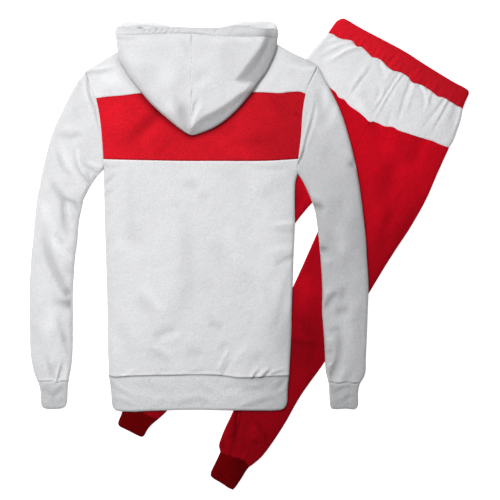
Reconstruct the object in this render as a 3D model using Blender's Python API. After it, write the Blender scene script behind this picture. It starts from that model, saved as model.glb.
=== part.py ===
"""Two-piece tracksuit laid out flat: a hooded top lying on its front, with its hood thrown down
on its back, partly over a pair of jogging trousers. Every piece is a thin cloth wall."""

import math

import bpy

# ---- driving dimensions -------------------------------------------------------------------
UNIT = 0.002                # metres in one drawing unit; the plan tables below are in units
PLAN_CENTRE = (249.0, 254.6)  # the drawing point that lies over the origin (drawing y runs down)
CLOTH = 0.0020              # thickness of one layer of fleece
SEAM_GAP = 0.0003           # left between two pieces that are sewn together
BODY_LOFT = 0.0034          # how far the top's back stands off its front, at most
SLEEVE_LOFT = 0.0034
BAND_LOFT = 0.0016          # the same in cuffs, hem band and waistband
LEG_LOFT = 0.0030
HOOD_LOFT = 0.0035
OVER_LEGS = 2 * CLOTH + SEAM_GAP + LEG_LOFT + 0.0010  # height of the top where it crosses the trousers
PLATEAU = 0.036             # it keeps that height this far past the trousers' edge
RAMP = 0.046                # and comes down to the floor over this length
HOOD_REST = 2 * CLOTH + SEAM_GAP + BODY_LOFT + 0.0006  # underside of the thrown-back hood

WHITE = (0.80, 0.80, 0.82)
RIB_WHITE = (0.70, 0.71, 0.73)
RED = (0.56, 0.012, 0.03)
DARK_RED = (0.25, 0.002, 0.006)

# ---- plan tables, drawing units -----------------------------------------------------------
# Armhole seams, shoulder to armpit. Columns: left x, left y, right x, right y
ARMHOLE = (
    (85.5, 70.4, 317.3, 65.5),    # shoulder tip
    (90.4, 84.0, 311.0, 79.0),
    (95.8, 97.9, 305.6, 94.0),    # top of the band
    (99.6, 117.0, 302.4, 114.0),
    (101.8, 138.0, 300.9, 136.0),
    (103.1, 159.0, 298.3, 159.0),  # bottom of the band
    (103.0, 169.5, 297.7, 173.7),  # armpit
)
BAND_TOP, BAND_BOTTOM, ARMPIT = 2, 5, 6
# Side seams below the armpit. Columns: left x, right x, y
SIDES = (
    (104.2, 295.0, 224.0),
    (105.4, 293.5, 259.5),
    (106.8, 292.0, 306.0),
    (107.3, 291.1, 340.0),
    (108.6, 289.2, 376.2),        # hem seam
)
HEM_ROWS = ((109.6, 288.4, 386.0), (110.9, 287.8, 399.0), (115.5, 284.5, 410.8))
# Shoulders and neckline. Columns: place across (0 left to 1 right), rise of the back's top edge
# over the line between the shoulder tips, the same of the front
NECKLINE = (
    (0.0, 0.0, 0.0), (0.05, 7.1, 7.1), (0.138, 18.7, 18.7), (0.227, 27.5, 27.5),
    (0.30, 24.5, 18.0), (0.38, 22.8, 12.0), (0.455, 22.2, 9.5), (0.53, 22.4, 9.5),
    (0.60, 23.2, 12.0), (0.67, 25.0, 18.0), (0.735, 27.5, 27.5), (0.79, 24.6, 24.6),
    (0.833, 21.6, 21.6), (0.89, 14.5, 14.5), (0.949, 7.3, 7.3), (1.0, 0.0, 0.0),
)
# Sleeves, below the armhole. Columns: outer x, outer y, inner x, inner y
SLEEVE_LEFT = (
    (68.0, 98.0, 97.2, 175.5), (52.8, 130.0, 90.7, 185.0), (43.6, 163.0, 83.6, 199.0),
    (36.7, 197.0, 79.2, 217.0), (32.3, 240.0, 76.8, 241.0), (29.5, 272.0, 73.6, 273.5),
    (28.8, 312.0, 72.4, 308.0), (29.3, 346.0, 72.3, 345.0), (32.8, 371.0, 70.8, 368.0),
    (36.7, 381.4, 68.0, 381.2),   # cuff seam
)
SLEEVE_RIGHT = (
    (332.9, 94.2, 301.8, 179.5), (344.4, 121.6, 305.6, 187.0), (353.5, 153.8, 312.2, 203.0),
    (361.0, 192.0, 315.6, 217.0), (365.4, 232.0, 318.6, 237.0), (367.4, 262.0, 320.7, 262.0),
    (368.4, 292.0, 322.2, 290.0), (367.7, 320.0, 322.8, 320.0), (366.8, 346.0, 324.5, 346.0),
    (365.4, 371.0, 325.7, 370.5), (361.2, 382.2, 328.3, 381.6),
)
CUFF_LEFT = ((38.0, 384.0, 67.4, 384.5), (39.8, 395.0, 67.0, 396.0), (42.0, 408.8, 65.6, 407.6))
CUFF_RIGHT = ((359.6, 384.6, 328.8, 384.2), (358.5, 396.0, 329.6, 396.0), (357.0, 409.4, 331.6, 409.4))
# Hood, from the casing seam to the tip. Columns: y, left edge x, centre seam x, right edge x
HOOD = (
    (36.0, 115.4, 191.8, 277.2), (47.0, 117.1, 192.8, 276.3), (60.0, 118.8, 192.2, 271.6),
    (76.0, 128.0, 191.7, 263.0), (92.0, 141.5, 192.2, 252.2), (108.0, 155.4, 191.6, 239.0),
    (122.0, 171.3, 190.2, 223.0), (130.0, 182.0, 189.8, 209.5), (134.2, 187.0, 189.5, 196.5),
)
# Casing of the face opening. Columns: place across, y of its upper edge
CASING_TOP = (
    (0.0, 29.6), (0.05, 24.6), (0.11, 21.9), (0.27, 22.8), (0.37, 26.8), (0.47, 27.7),
    (0.62, 27.8), (0.69, 25.0), (0.78, 21.6), (0.88, 21.0), (0.96, 21.3), (1.0, 27.4),
)
# Trouser legs, waist seam to ankle seam. Columns: outer x, outer y, inner x, inner y
LEG_LEFT = (
    (328.4, 32.1, 395.2, 70.8),   # waist seam
    (301.0, 64.0, 368.5, 120.5),  # yoke seam
    (285.0, 97.0, 356.0, 147.0),
    (268.4, 130.0, 345.0, 172.0),  # crotch
    (246.0, 173.4, 310.0, 206.0), (222.0, 219.8, 282.0, 243.0), (197.0, 268.2, 254.0, 284.0),
    (172.0, 316.5, 226.5, 324.5), (148.0, 363.0, 199.0, 364.5), (133.0, 391.0, 176.6, 397.5),
    (127.5, 400.0, 166.0, 412.0), (124.5, 404.5, 158.0, 419.2),  # ankle seam
)
LEG_RIGHT = (
    (463.5, 108.2, 395.2, 70.8),
    (449.8, 147.4, 368.5, 120.5),
    (438.3, 172.7, 356.0, 147.0),
    (419.0, 213.0, 345.0, 172.0),
    (398.0, 247.0, 328.0, 209.8), (375.4, 283.6, 311.2, 246.8), (355.0, 316.0, 293.7, 285.6),
    (331.0, 353.0, 275.2, 324.0), (306.4, 388.5, 257.0, 362.0), (283.5, 426.4, 238.4, 400.6),
    (266.5, 452.0, 224.2, 431.0), (256.0, 463.0, 219.8, 446.0), (248.6, 466.4, 220.2, 452.0),
)
WAIST, YOKE_SEAM, CROTCH = 0, 1, 3
# Waistband's upper edge. Columns: x, y
BAND_EDGE = (
    (340.5, 18.4), (354.6, 23.2), (367.4, 30.6), (379.0, 36.5), (390.4, 42.6), (400.0, 47.6),
    (408.7, 52.8), (420.0, 60.0), (431.0, 67.2), (444.0, 75.0), (456.5, 82.6), (469.2, 91.4),
)
ANKLE_LEFT = ((120.6, 416.0, 149.5, 429.5), (118.2, 425.8, 142.3, 437.6))
ANKLE_RIGHT = ((241.2, 478.6, 214.6, 465.0), (232.8, 490.8, 210.2, 476.8))

# Largest folds, as troughs in the upper layer. Columns: start x, start y, end x, end y, half
# width (drawing units), share of the loft that is left out along the middle
FOLDS = (
    (264.5, 38.7, 253.0, 61.0, 7.0, 0.8),    # hood, right flank
    (253.0, 61.0, 233.0, 82.0, 7.0, 0.9),
    (249.0, 86.7, 214.0, 111.0, 6.0, 0.7),
    (192.0, 34.0, 191.0, 50.0, 5.0, 0.5),    # hood, centre pleat
    (44.6, 230.0, 50.0, 254.6, 5.0, 0.8),    # left sleeve, elbow
    (50.0, 254.6, 65.0, 285.0, 5.0, 0.8),
    (64.0, 219.5, 76.0, 238.0, 5.0, 0.6),
    (58.7, 154.0, 72.4, 177.4, 5.0, 0.6),
    (77.0, 160.0, 88.5, 189.0, 5.0, 0.7),
    (46.8, 352.0, 53.8, 380.0, 4.0, 0.6),
    (323.7, 249.0, 334.0, 296.0, 5.0, 0.5),  # right sleeve
    (334.0, 296.0, 347.0, 286.0, 5.0, 0.6),
    (340.0, 330.0, 337.4, 366.0, 5.0, 0.7),
    (348.0, 160.0, 356.0, 176.0, 5.0, 0.5),
)
# Gathers under the waistband, as troughs fanning down the yoke. Columns: place across the
# waist, place across the yoke's lower seam, share of the loft left out
GATHERS = (
    (0.10, 0.03, 0.9), (0.20, 0.16, 0.7), (0.30, 0.24, 0.8), (0.40, 0.37, 0.5),
    (0.50, 0.47, 0.8), (0.60, 0.60, 0.6), (0.70, 0.66, 0.8), (0.80, 0.82, 0.6), (0.90, 0.93, 0.8),
)

ALONG = 15.0      # longest step between two sections, drawing units
LEG_ALONG = 26.0
LEG_COLUMNS = 6
YOKE_FINER = 4    # columns of the yoke and waistband for each one of the legs


# ---- plan helpers -------------------------------------------------------------------------
def lerp(a, b, t):
    return a + (b - a) * t


def smooth(t):
    t = min(1.0, max(0.0, t))
    return t * t * (3 - 2 * t)


def along(table, column, t):
    """The value of a table's column at t in its first column."""
    for low, high in zip(table, table[1:]):
        if t <= high[0]:
            return lerp(low[column], high[column], (t - low[0]) / (high[0] - low[0]))
    return table[-1][column]


def rows_between(table, step):
    """The table's rows with even rows added wherever two lie further apart than the step."""
    found = [tuple(table[0])]
    for low, high in zip(table, table[1:]):
        far = max(math.dist(low[:2], high[:2]), math.dist(low[-2:], high[-2:]))
        parts = max(1, math.ceil(far / step))
        for k in range(1, parts + 1):
            found.append(tuple(lerp(a, b, k / parts) for a, b in zip(low, high)))
    return found


def world(point, z):
    return ((point[0] - PLAN_CENTRE[0]) * UNIT, (PLAN_CENTRE[1] - point[1]) * UNIT, z)


def distance_to(polygon, point):
    """Distance from a point to a plan polygon, and 0 inside it, in drawing units."""
    inside, nearest = False, 1e9
    x, y = point
    for (ax, ay), (bx, by) in zip(polygon, polygon[1:] + polygon[:1]):
        if (ay > y) != (by > y) and x < (bx - ax) * (y - ay) / (by - ay) + ax:
            inside = not inside
        t = ((x - ax) * (bx - ax) + (y - ay) * (by - ay)) / ((bx - ax) ** 2 + (by - ay) ** 2)
        t = min(1.0, max(0.0, t))
        nearest = min(nearest, math.hypot(x - lerp(ax, bx, t), y - lerp(ay, by, t)))
    return 0.0 if inside else nearest


def outline(table, ankle):
    rows = list(table) + list(ankle)
    return [row[:2] for row in rows] + [row[2:] for row in reversed(rows)]


LEG_OUTLINES = (outline(LEG_LEFT, ANKLE_LEFT), outline(LEG_RIGHT, ANKLE_RIGHT))


def ground(point, wider=0.0):
    """Height of the underside of the top: over the trousers or on the floor."""
    away = min(distance_to(polygon, point) for polygon in LEG_OUTLINES) * UNIT
    return OVER_LEGS * (1 - smooth((away - PLATEAU - wider) / RAMP))


def under_hood(point):
    """Height of the underside of the hood, clear of the back that it lies on."""
    return HOOD_REST + ground(point, 0.030)


def swell(t, edge=0.22):
    """0 at both ends of 0..1 and 1 between."""
    return smooth(min(t, 1 - t) / edge)


def segment_distance(point, ax, ay, bx, by):
    t = ((point[0] - ax) * (bx - ax) + (point[1] - ay) * (by - ay)) / ((bx - ax) ** 2 + (by - ay) ** 2)
    t = min(1.0, max(0.0, t))
    return math.hypot(point[0] - lerp(ax, bx, t), point[1] - lerp(ay, by, t))


def folded(point):
    """Share of the loft that the largest folds leave at a plan point."""
    left = 1.0
    for ax, ay, bx, by, half, depth in FOLDS:
        left *= 1 - depth * math.exp(-((segment_distance(point, ax, ay, bx, by) / half) ** 2))
    return left


def gathered(across, down):
    """Share of the loft that the gathers leave. down is 0 at the waist and 1 at the yoke seam."""
    left = 1.0
    for top, bottom, depth in GATHERS:
        away = (across - lerp(top, bottom, down)) / 0.028
        left *= 1 - depth * (1 - 0.75 * down) * math.exp(-away * away)
    return left


# ---- solids -------------------------------------------------------------------------------
def material(name, colour, roughness):
    made = bpy.data.materials.new(name)
    made.use_nodes = True
    shader = made.node_tree.nodes["Principled BSDF"]
    shader.inputs["Base Color"].default_value = (*colour, 1.0)
    shader.inputs["Roughness"].default_value = roughness
    shader.inputs["Metallic"].default_value = 0.0
    return made


def wall(name, outer, inner, wrap, colour, roughness=0.9):
    """A closed cloth wall between two grids of points, rows first. wrap joins its last column
    to its first, which makes a tube that is open at both ends."""
    rows, columns = len(outer), len(outer[0])
    points = [p for row in outer for p in row] + [p for row in inner for p in row]
    half = rows * columns
    faces = []
    for r in range(rows - 1):
        for c in range(columns if wrap else columns - 1):
            d = (c + 1) % columns
            a, b, e, f = r * columns + c, r * columns + d, (r + 1) * columns + d, (r + 1) * columns + c
            faces += [(a, b, e), (a, e, f)]
            faces += [(half + a, half + e, half + b), (half + a, half + f, half + e)]
    rim = []
    for c in range(columns if wrap else columns - 1):
        d = (c + 1) % columns
        rim += [(d, c), ((rows - 1) * columns + c, (rows - 1) * columns + d)]
    if not wrap:
        for r in range(rows - 1):
            rim += [(r * columns, (r + 1) * columns), ((r + 2) * columns - 1, (r + 1) * columns - 1)]
    for a, b in rim:
        faces += [(a, b, half + b), (a, half + b, half + a)]
    volume = sum(
        points[a][0] * (points[b][1] * points[c][2] - points[b][2] * points[c][1])
        - points[a][1] * (points[b][0] * points[c][2] - points[b][2] * points[c][0])
        + points[a][2] * (points[b][0] * points[c][1] - points[b][1] * points[c][0])
        for a, b, c in faces
    )
    if volume < 0:
        faces = [face[::-1] for face in faces]
    mesh = bpy.data.meshes.new(name)
    mesh.from_pydata(points, [], faces)
    mesh.update()
    for polygon in mesh.polygons:
        polygon.use_smooth = True
    mesh.set_sharp_from_angle(angle=math.radians(40))
    mesh.materials.append(material(name, colour, roughness))
    made = bpy.data.objects.new(name, mesh)
    bpy.context.scene.collection.objects.link(made)
    return made


def panel(name, plan, low, colour):
    """A single layer over a plan grid. low gives the height of its underside, row by row."""
    under = [[world(p, z) for p, z in zip(row, zs)] for row, zs in zip(plan, low)]
    over = [[(x, y, z + CLOTH) for x, y, z in row] for row in under]
    return wall(name, over, under, False, colour)


def flat_tube(name, plan, floor, loft, colour, open_side=False, thick=CLOTH):
    """A flattened tube over a plan grid whose columns run across it: a lower layer, an upper one
    and the folds between them. With open_side it is a C, open along its first column."""
    outer, inner = [], []
    for row, lows, lofts in zip(plan, floor, loft):
        width = math.dist(row[0], row[-1])
        inset = thick / UNIT / width
        tucked = []
        for p in row:
            v = math.dist(row[0], p) / width
            move = (0.0 if open_side else inset * (1 - v) ** 2) - inset * v * v
            tucked.append(tuple(a + (e - s) * move for a, s, e in zip(p, row[0], row[-1])))
        low_out = [world(p, z) for p, z in zip(row, lows)]
        low_in = [world(p, z + thick) for p, z in zip(tucked, lows)]
        top_in = [world(p, z + thick + g) for p, z, g in zip(tucked, lows, lofts)]
        top_out = [world(p, z + 2 * thick + g) for p, z, g in zip(row, lows, lofts)]
        outer.append(low_out + top_out[::-1])
        inner.append(low_in + top_in[::-1])
    return wall(name, outer, inner, not open_side, colour)


def between(row, count):
    ax, ay, bx, by = row
    return [(lerp(ax, bx, k / (count - 1)), lerp(ay, by, k / (count - 1))) for k in range(count)]


def shift_row(row, toward, gap):
    """The row of points moved by the gap toward another row."""
    moved = []
    for p, q in zip(row, toward):
        far = math.dist(p, q)
        moved.append(tuple(lerp(a, b, gap / UNIT / far) for a, b in zip(p, q)))
    return moved


def trimmed(plan, first=True, last=True):
    """A plan grid drawn back by half a seam gap at its first and last row."""
    plan = [list(row) for row in plan]
    if first:
        plan[0] = shift_row(plan[0], plan[1], SEAM_GAP / 2)
    if last:
        plan[-1] = shift_row(plan[-1], plan[-2], SEAM_GAP / 2)
    return plan


# ---- the top's body -----------------------------------------------------------------------
ACROSS = [row[0] for row in NECKLINE]


def body_rows():
    rows = [(a, b, c, d) for a, b, c, d in ARMHOLE]
    below = [rows[-1]] + [(left, y, right, y) for left, right, y in SIDES]
    return rows + rows_between(below, ALONG)[1:]


BODY_ROWS = body_rows()


def body_plan(rise_column):
    """The body's plan grid. Its sides stop short of the armhole and side lines by the gap."""
    plan = []
    for number, (lx, ly, rx, ry) in enumerate(BODY_ROWS):
        share = (1.0, 0.5)[number] if number < 2 else 0.0
        short = SEAM_GAP / 2 / UNIT if number <= ARMPIT else 0.0
        row = []
        for u, *rises in NECKLINE:
            x = lerp(lx + short, rx - short, u)
            row.append((x, lerp(ly, ry, u) - share * rises[rise_column]))
        plan.append(row)
    return plan


BACK_PLAN, FRONT_PLAN = body_plan(0), body_plan(1)
BODY_GROUND = [[ground(p) for p in row] for row in FRONT_PLAN]


def body_loft(number, u):
    top = smooth(number / 2.0)
    bottom = smooth((len(BODY_ROWS) - 1 - number) / 2.0)
    return BODY_LOFT * swell(u, 0.2) * min(top, 0.45 + 0.55 * bottom)


BACK_LOW = [
    [ground(p) + CLOTH + SEAM_GAP + body_loft(number, u) for p, u in zip(row, ACROSS)]
    for number, row in enumerate(BACK_PLAN)
]


def make_body():
    panel("hoodie_front", trimmed(FRONT_PLAN, first=False), BODY_GROUND, WHITE)
    for name, first, last, colour in (
        ("hoodie_yoke", 0, BAND_TOP, WHITE),
        ("hoodie_band", BAND_TOP, BAND_BOTTOM, RED),
        ("hoodie_back", BAND_BOTTOM, len(BODY_ROWS) - 1, WHITE),
    ):
        plan = trimmed(BACK_PLAN[first:last + 1], first=first > 0)
        panel(name, plan, BACK_LOW[first:last + 1], colour)
    rows = [BODY_ROWS[-1]] + [(left, y, right, y) for left, right, y in HEM_ROWS]
    plan = trimmed([[(lerp(r[0], r[2], u), lerp(r[1], r[3], u)) for u in ACROSS] for r in rows], last=False)
    loft = [[SEAM_GAP + BAND_LOFT * swell(u) for u in ACROSS] for _ in plan]
    flat_tube("hem_band", plan, [[ground(p) for p in row] for row in plan], loft, RIB_WHITE)


# ---- sleeves and cuffs --------------------------------------------------------------------
def sleeve_plan(side, table):
    """Rows across the sleeve from its outer fold to its inner one. The first is the armhole,
    whose curve fades over the next rows."""
    armhole = [row[:2] if side < 0 else row[2:] for row in ARMHOLE]
    short = side * SEAM_GAP / 2 / UNIT
    armhole = [(x + short, y) for x, y in armhole]
    length = [0.0]
    for p, q in zip(armhole, armhole[1:]):
        length.append(length[-1] + math.dist(p, q))
    across = [value / length[-1] for value in length]
    first = (*armhole[0], *armhole[-1])
    rows = rows_between([first] + list(table), ALONG * 1.15)
    plan = []
    for number, row in enumerate(rows):
        keep = 1 - smooth(number / 4.0)
        cells = []
        for v, p in zip(across, armhole):
            x, y = lerp(row[0], row[2], v), lerp(row[1], row[3], v)
            cells.append((x + keep * (p[0] - lerp(first[0], first[2], v)), y + keep * (p[1] - lerp(first[1], first[3], v))))
        plan.append(cells)
    return plan, across


def make_sleeve(name, side, table, cuff_name, cuff_table):
    plan, across = sleeve_plan(side, table)
    last = len(plan) - 1
    seam = plan[-1]
    plan = trimmed(plan, first=False)
    loft = [
        [
            SEAM_GAP + SLEEVE_LOFT * swell(v, 0.3) * smooth(n / 2.0) * (0.5 + 0.5 * smooth((last - n) / 2.0)) * folded(p)
            for v, p in zip(across, row)
        ]
        for n, row in enumerate(plan)
    ]
    flat_tube(name, plan, [[ground(p) for p in row] for row in plan], loft, WHITE)
    cuff = [seam] + [[(lerp(r[0], r[2], v), lerp(r[1], r[3], v)) for v in across] for r in cuff_table]
    cuff = trimmed(cuff, last=False)
    loft = [[SEAM_GAP + BAND_LOFT * swell(v, 0.3) for v in across] for _ in cuff]
    flat_tube(cuff_name, cuff, [[ground(p) for p in row] for row in cuff], loft, RIB_WHITE)


# ---- hood ---------------------------------------------------------------------------------
HOOD_ACROSS = (0.0, 0.08, 0.2, 0.35, 0.5, 0.65, 0.78, 0.9, 1.0)


def hood_loft(number, v):
    """Gap inside the pouch: none at the outer fold (v = 1) and little at the tip."""
    tip = smooth((len(HOOD) - 1 - number) / 2.5)
    return SEAM_GAP + HOOD_LOFT * smooth((1 - v) / 0.35) * tip


def make_hood():
    for name, side, column in (("hood_left", -1, 1), ("hood_right", 1, 3)):
        plan = []
        for row in HOOD:
            start = row[2] + side * SEAM_GAP / 2 / UNIT
            plan.append([(lerp(start, row[column], v), row[0]) for v in HOOD_ACROSS])
        floor = [[under_hood(p) for p in row] for row in plan]
        loft = [
            [SEAM_GAP + (hood_loft(n, v) - SEAM_GAP) * folded(p) for v, p in zip(HOOD_ACROSS, row)]
            for n, row in enumerate(plan)
        ]
        flat_tube(name, trimmed(plan, last=False), floor, loft, WHITE, open_side=True)
    y, left, _, right = HOOD[0]
    across = [row[0] for row in CASING_TOP]
    seam = [(lerp(left, right, u), y) for u in across]
    edge = [(lerp(left + 0.6, right, u), top) for u, top in CASING_TOP]
    middle = [((p[0] + q[0]) / 2, (p[1] + q[1]) / 2) for p, q in zip(seam, edge)]
    plan = trimmed([seam, middle, edge], last=False)
    loft = [[SEAM_GAP + HOOD_LOFT * swell(u, 0.15) for u in across] for _ in plan]
    floor = [[under_hood(p) for p in row] for row in plan]
    flat_tube("hood_casing", plan, floor, loft, WHITE)


# ---- trousers -----------------------------------------------------------------------------
def leg_loft(down, v):
    """Gap between the leg's layers. down is 0 at the yoke seam and 1 at the crotch; below the
    crotch the inner edge (v = 1) is a fold, above it the other half goes on."""
    outer = smooth(v / 0.3)
    inner = smooth((1 - v) / 0.3)
    return LEG_LOFT * outer * lerp(1.0, inner, smooth(down))


def make_trousers():
    yoke_rows = []
    for side, table, ankle, tag in ((-1, LEG_LEFT, ANKLE_LEFT, "left"), (1, LEG_RIGHT, ANKLE_RIGHT, "right")):
        upper = rows_between(table[WAIST:YOKE_SEAM + 1], LEG_ALONG)
        middle = rows_between(table[YOKE_SEAM:CROTCH + 1], LEG_ALONG)[1:]
        lower = rows_between(table[CROTCH:], LEG_ALONG)[1:]
        rows = upper + middle + lower
        seam, fork = len(upper) - 1, len(upper) + len(middle) - 1
        plan, lows = [], []
        for number, row in enumerate(rows):
            cells = between(row, LEG_COLUMNS)
            if number <= fork:
                cells[-1] = (cells[-1][0] + side * SEAM_GAP / 2 / UNIT, cells[-1][1])
            down = (number - seam) / (fork - seam)
            ends = min(smooth((number + 1.5) / 3.0), smooth((len(rows) - number) / 3.0))
            plan.append(cells)
            lows.append([CLOTH + SEAM_GAP + leg_loft(down, k / (LEG_COLUMNS - 1)) * ends for k in range(LEG_COLUMNS)])
        panel("pants_front_" + tag, trimmed(plan), [[0.0] * LEG_COLUMNS for _ in plan], RED)
        panel("pants_back_" + tag, trimmed(plan[seam:]), lows[seam:], RED)
        yoke_rows.append(rows_between(table[WAIST:YOKE_SEAM + 1], LEG_ALONG / 2))
        last = [between(row, LEG_COLUMNS) for row in (rows[-1], *ankle)]
        loft = [[SEAM_GAP + BAND_LOFT * swell(k / (LEG_COLUMNS - 1), 0.3) for k in range(LEG_COLUMNS)] for _ in last]
        flat_tube("ankle_cuff_" + tag, trimmed(last, last=False), [[0.0] * LEG_COLUMNS for _ in last], loft, DARK_RED)
    make_waist(*yoke_rows)


def make_waist(left_rows, right_rows):
    """The yoke across both legs, and the waistband over it."""
    half = (LEG_COLUMNS - 1) * YOKE_FINER + 1
    across = [k / (2 * half - 2) for k in range(2 * half - 1)]
    plan = [between(left, half) + between(right, half)[-2::-1] for left, right in zip(left_rows, right_rows)]
    lows = []
    for number in range(len(plan)):
        down = number / (len(plan) - 1)
        ends = lerp(0.5, 1.0, smooth(down * 1.5))
        lows.append([CLOTH + SEAM_GAP + LEG_LOFT * swell(u, 0.15) * ends * gathered(u, down) for u in across])
    panel("pants_yoke", trimmed(plan), lows, WHITE)
    seam, edge = plan[0], []
    for u in across:
        place = u * (len(BAND_EDGE) - 1)
        low = min(int(place), len(BAND_EDGE) - 2)
        edge.append(tuple(lerp(a, b, place - low) for a, b in zip(BAND_EDGE[low], BAND_EDGE[low + 1])))
    rows = [[tuple(lerp(a, b, t) for a, b in zip(p, q)) for p, q in zip(seam, edge)] for t in (0.0, 0.33, 0.67, 1.0)]
    loft = [
        [SEAM_GAP + BAND_LOFT * swell(u) * lerp(gathered(u, 0.0), 1.0, smooth(t / 3.0)) for u in across]
        for t in range(4)
    ]
    flat_tube("waistband", trimmed(rows, last=False), [[0.0] * len(across) for _ in rows], loft, RED)


def main():
    for existing in list(bpy.data.objects):
        bpy.data.objects.remove(existing)
    make_body()
    make_sleeve("sleeve_left", -1, SLEEVE_LEFT, "cuff_left", CUFF_LEFT)
    make_sleeve("sleeve_right", 1, SLEEVE_RIGHT, "cuff_right", CUFF_RIGHT)
    make_hood()
    make_trousers()


main()
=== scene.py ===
"""The looks of a two-piece tracksuit laid out flat: a hooded fleece top lying on its front, its
hood thrown down on its back, partly over a pair of jogging trousers. Plan tables are in drawing
units of 2 mm, y running down; heights are in millimetres above the surface it lies on."""

import math

import bpy
import numpy as np
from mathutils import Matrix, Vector

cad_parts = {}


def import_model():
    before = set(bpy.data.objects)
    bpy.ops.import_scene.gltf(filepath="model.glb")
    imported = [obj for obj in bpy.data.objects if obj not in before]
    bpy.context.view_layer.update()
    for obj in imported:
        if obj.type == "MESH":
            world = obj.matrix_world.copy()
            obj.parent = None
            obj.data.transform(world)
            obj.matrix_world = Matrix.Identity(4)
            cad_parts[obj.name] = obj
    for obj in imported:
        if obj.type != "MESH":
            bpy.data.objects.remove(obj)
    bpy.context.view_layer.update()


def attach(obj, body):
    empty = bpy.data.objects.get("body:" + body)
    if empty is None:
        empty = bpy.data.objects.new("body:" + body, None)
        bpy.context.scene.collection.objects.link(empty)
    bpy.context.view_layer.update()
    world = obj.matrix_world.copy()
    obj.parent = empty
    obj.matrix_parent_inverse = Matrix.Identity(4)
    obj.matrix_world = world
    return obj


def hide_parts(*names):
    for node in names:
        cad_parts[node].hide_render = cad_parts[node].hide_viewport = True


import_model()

# ---- sizes --------------------------------------------------------------------------------
UNIT = 0.002
MM = 2.0                      # millimetres in a drawing unit
CENTRE = (249.0, 254.6)
CLOTH = 2.0                   # one layer, mm
STEP = 3.0                    # grid step of what shows, mm
HIDDEN_STEP = 9.0
OVER_LEGS = 7.0               # height of the top's underside where it crosses the trousers
TOP_FLAT = 6.3                # top of the back, two layers and the air between
LEG_FLAT = 5.0
HOOD_BASE = 8.6

# ---- plan tables (x, y) -------------------------------------------------------------------
ARMHOLE_L = ((85.5, 70.4), (87.6, 77.0), (90.4, 84.0), (93.2, 91.0), (95.8, 97.9), (98.0, 107.5),
             (99.6, 117.0), (101.8, 138.0), (103.1, 159.0), (103.0, 169.5))
ARMHOLE_R = ((317.3, 65.5), (314.2, 72.5), (311.0, 79.0), (308.0, 86.5), (305.6, 94.0), (303.7, 104.0),
             (302.4, 114.0), (300.9, 136.0), (298.3, 159.0), (297.7, 173.7))
BAND_TOP_AT, BAND_BOTTOM_AT = 4, 8
SHOULDERS = ((85.5, 70.4), (97.0, 63.4), (107.0, 57.0), (117.4, 51.0), (128.0, 45.6), (138.0, 41.5),
             (150.0, 43.8), (170.0, 45.6), (191.0, 46.2), (215.0, 45.6), (240.0, 43.0), (256.0, 39.0),
             (266.0, 40.6), (278.5, 44.7), (285.5, 48.8), (292.8, 52.8), (305.5, 58.6), (317.3, 65.5))
FRONT_NECK = ((85.5, 70.4), (97.0, 63.4), (107.0, 57.0), (117.4, 51.0), (128.0, 45.6), (138.0, 41.5),
              (150.0, 52.0), (170.0, 58.0), (191.0, 60.0), (215.0, 58.0), (240.0, 51.0), (256.0, 39.0),
              (266.0, 40.6), (278.5, 44.7), (285.5, 48.8), (292.8, 52.8), (305.5, 58.6), (317.3, 65.5))
BAND_TOP = ((95.8, 97.9), (107.3, 96.4), (123.3, 95.1), (141.8, 92.7), (170.0, 90.6), (220.0, 90.6),
            (252.5, 92.0), (266.6, 92.6), (280.7, 93.3), (287.7, 92.4), (300.3, 91.9), (305.6, 94.0))
BAND_BOTTOM = ((103.1, 159.0), (128.0, 159.8), (153.6, 160.4), (184.0, 160.9), (213.8, 161.0),
               (240.0, 161.2), (267.4, 161.0), (285.0, 160.0), (298.3, 159.0))
SIDE_L = ((103.0, 169.5), (103.6, 196.0), (104.2, 224.0), (105.4, 259.5), (106.8, 306.0), (107.3, 340.0), (108.4, 375.9))
SIDE_R = ((297.7, 173.7), (295.6, 182.0), (294.9, 224.0), (293.5, 259.5), (292.0, 306.0), (291.1, 340.0), (289.2, 376.2))
HEM_SEAM = ((108.4, 375.9), (114.7, 377.4), (125.7, 376.7), (144.0, 376.1), (180.7, 375.3), (210.0, 375.2),
            (228.0, 376.8), (236.8, 378.0), (252.0, 377.8), (267.0, 376.7), (289.2, 376.2))
HEM_L = ((108.4, 375.9), (109.3, 381.0), (111.0, 395.0), (111.5, 403.5), (112.9, 407.8))
HEM_R = ((289.2, 376.2), (288.4, 383.0), (287.8, 392.0), (287.3, 402.0), (285.9, 406.4))
HEM_BOTTOM = ((112.9, 407.8), (115.0, 410.2), (119.5, 411.3), (133.0, 411.9), (151.0, 411.1), (184.0, 410.1),
              (233.5, 410.6), (277.0, 410.5), (282.6, 409.4), (285.9, 406.4))
SLEEVE_L_OUT = ((85.5, 70.4), (76.6, 82.0), (68.0, 97.6), (59.6, 114.5), (52.6, 130.5), (47.6, 146.5),
                (43.6, 163.0), (39.8, 180.0), (36.7, 197.0), (34.2, 218.0), (32.2, 240.0), (30.4, 257.0),
                (29.4, 273.0), (28.7, 292.0), (28.7, 312.0), (29.0, 330.0), (29.3, 346.0), (30.6, 359.5), (32.8, 371.0), (36.5, 381.3))
SLEEVE_L_IN = ((103.0, 169.5), (97.2, 175.6), (90.4, 185.4), (86.3, 193.0), (83.2, 199.6), (82.2, 204.0), (79.4, 216.6),
               (77.8, 228.0), (77.0, 241.0), (74.8, 256.0), (73.5, 273.5), (72.4, 290.0), (72.4, 308.0),
               (72.4, 326.0), (72.2, 345.0), (71.8, 357.0), (70.6, 368.0), (68.2, 381.2))
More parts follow.
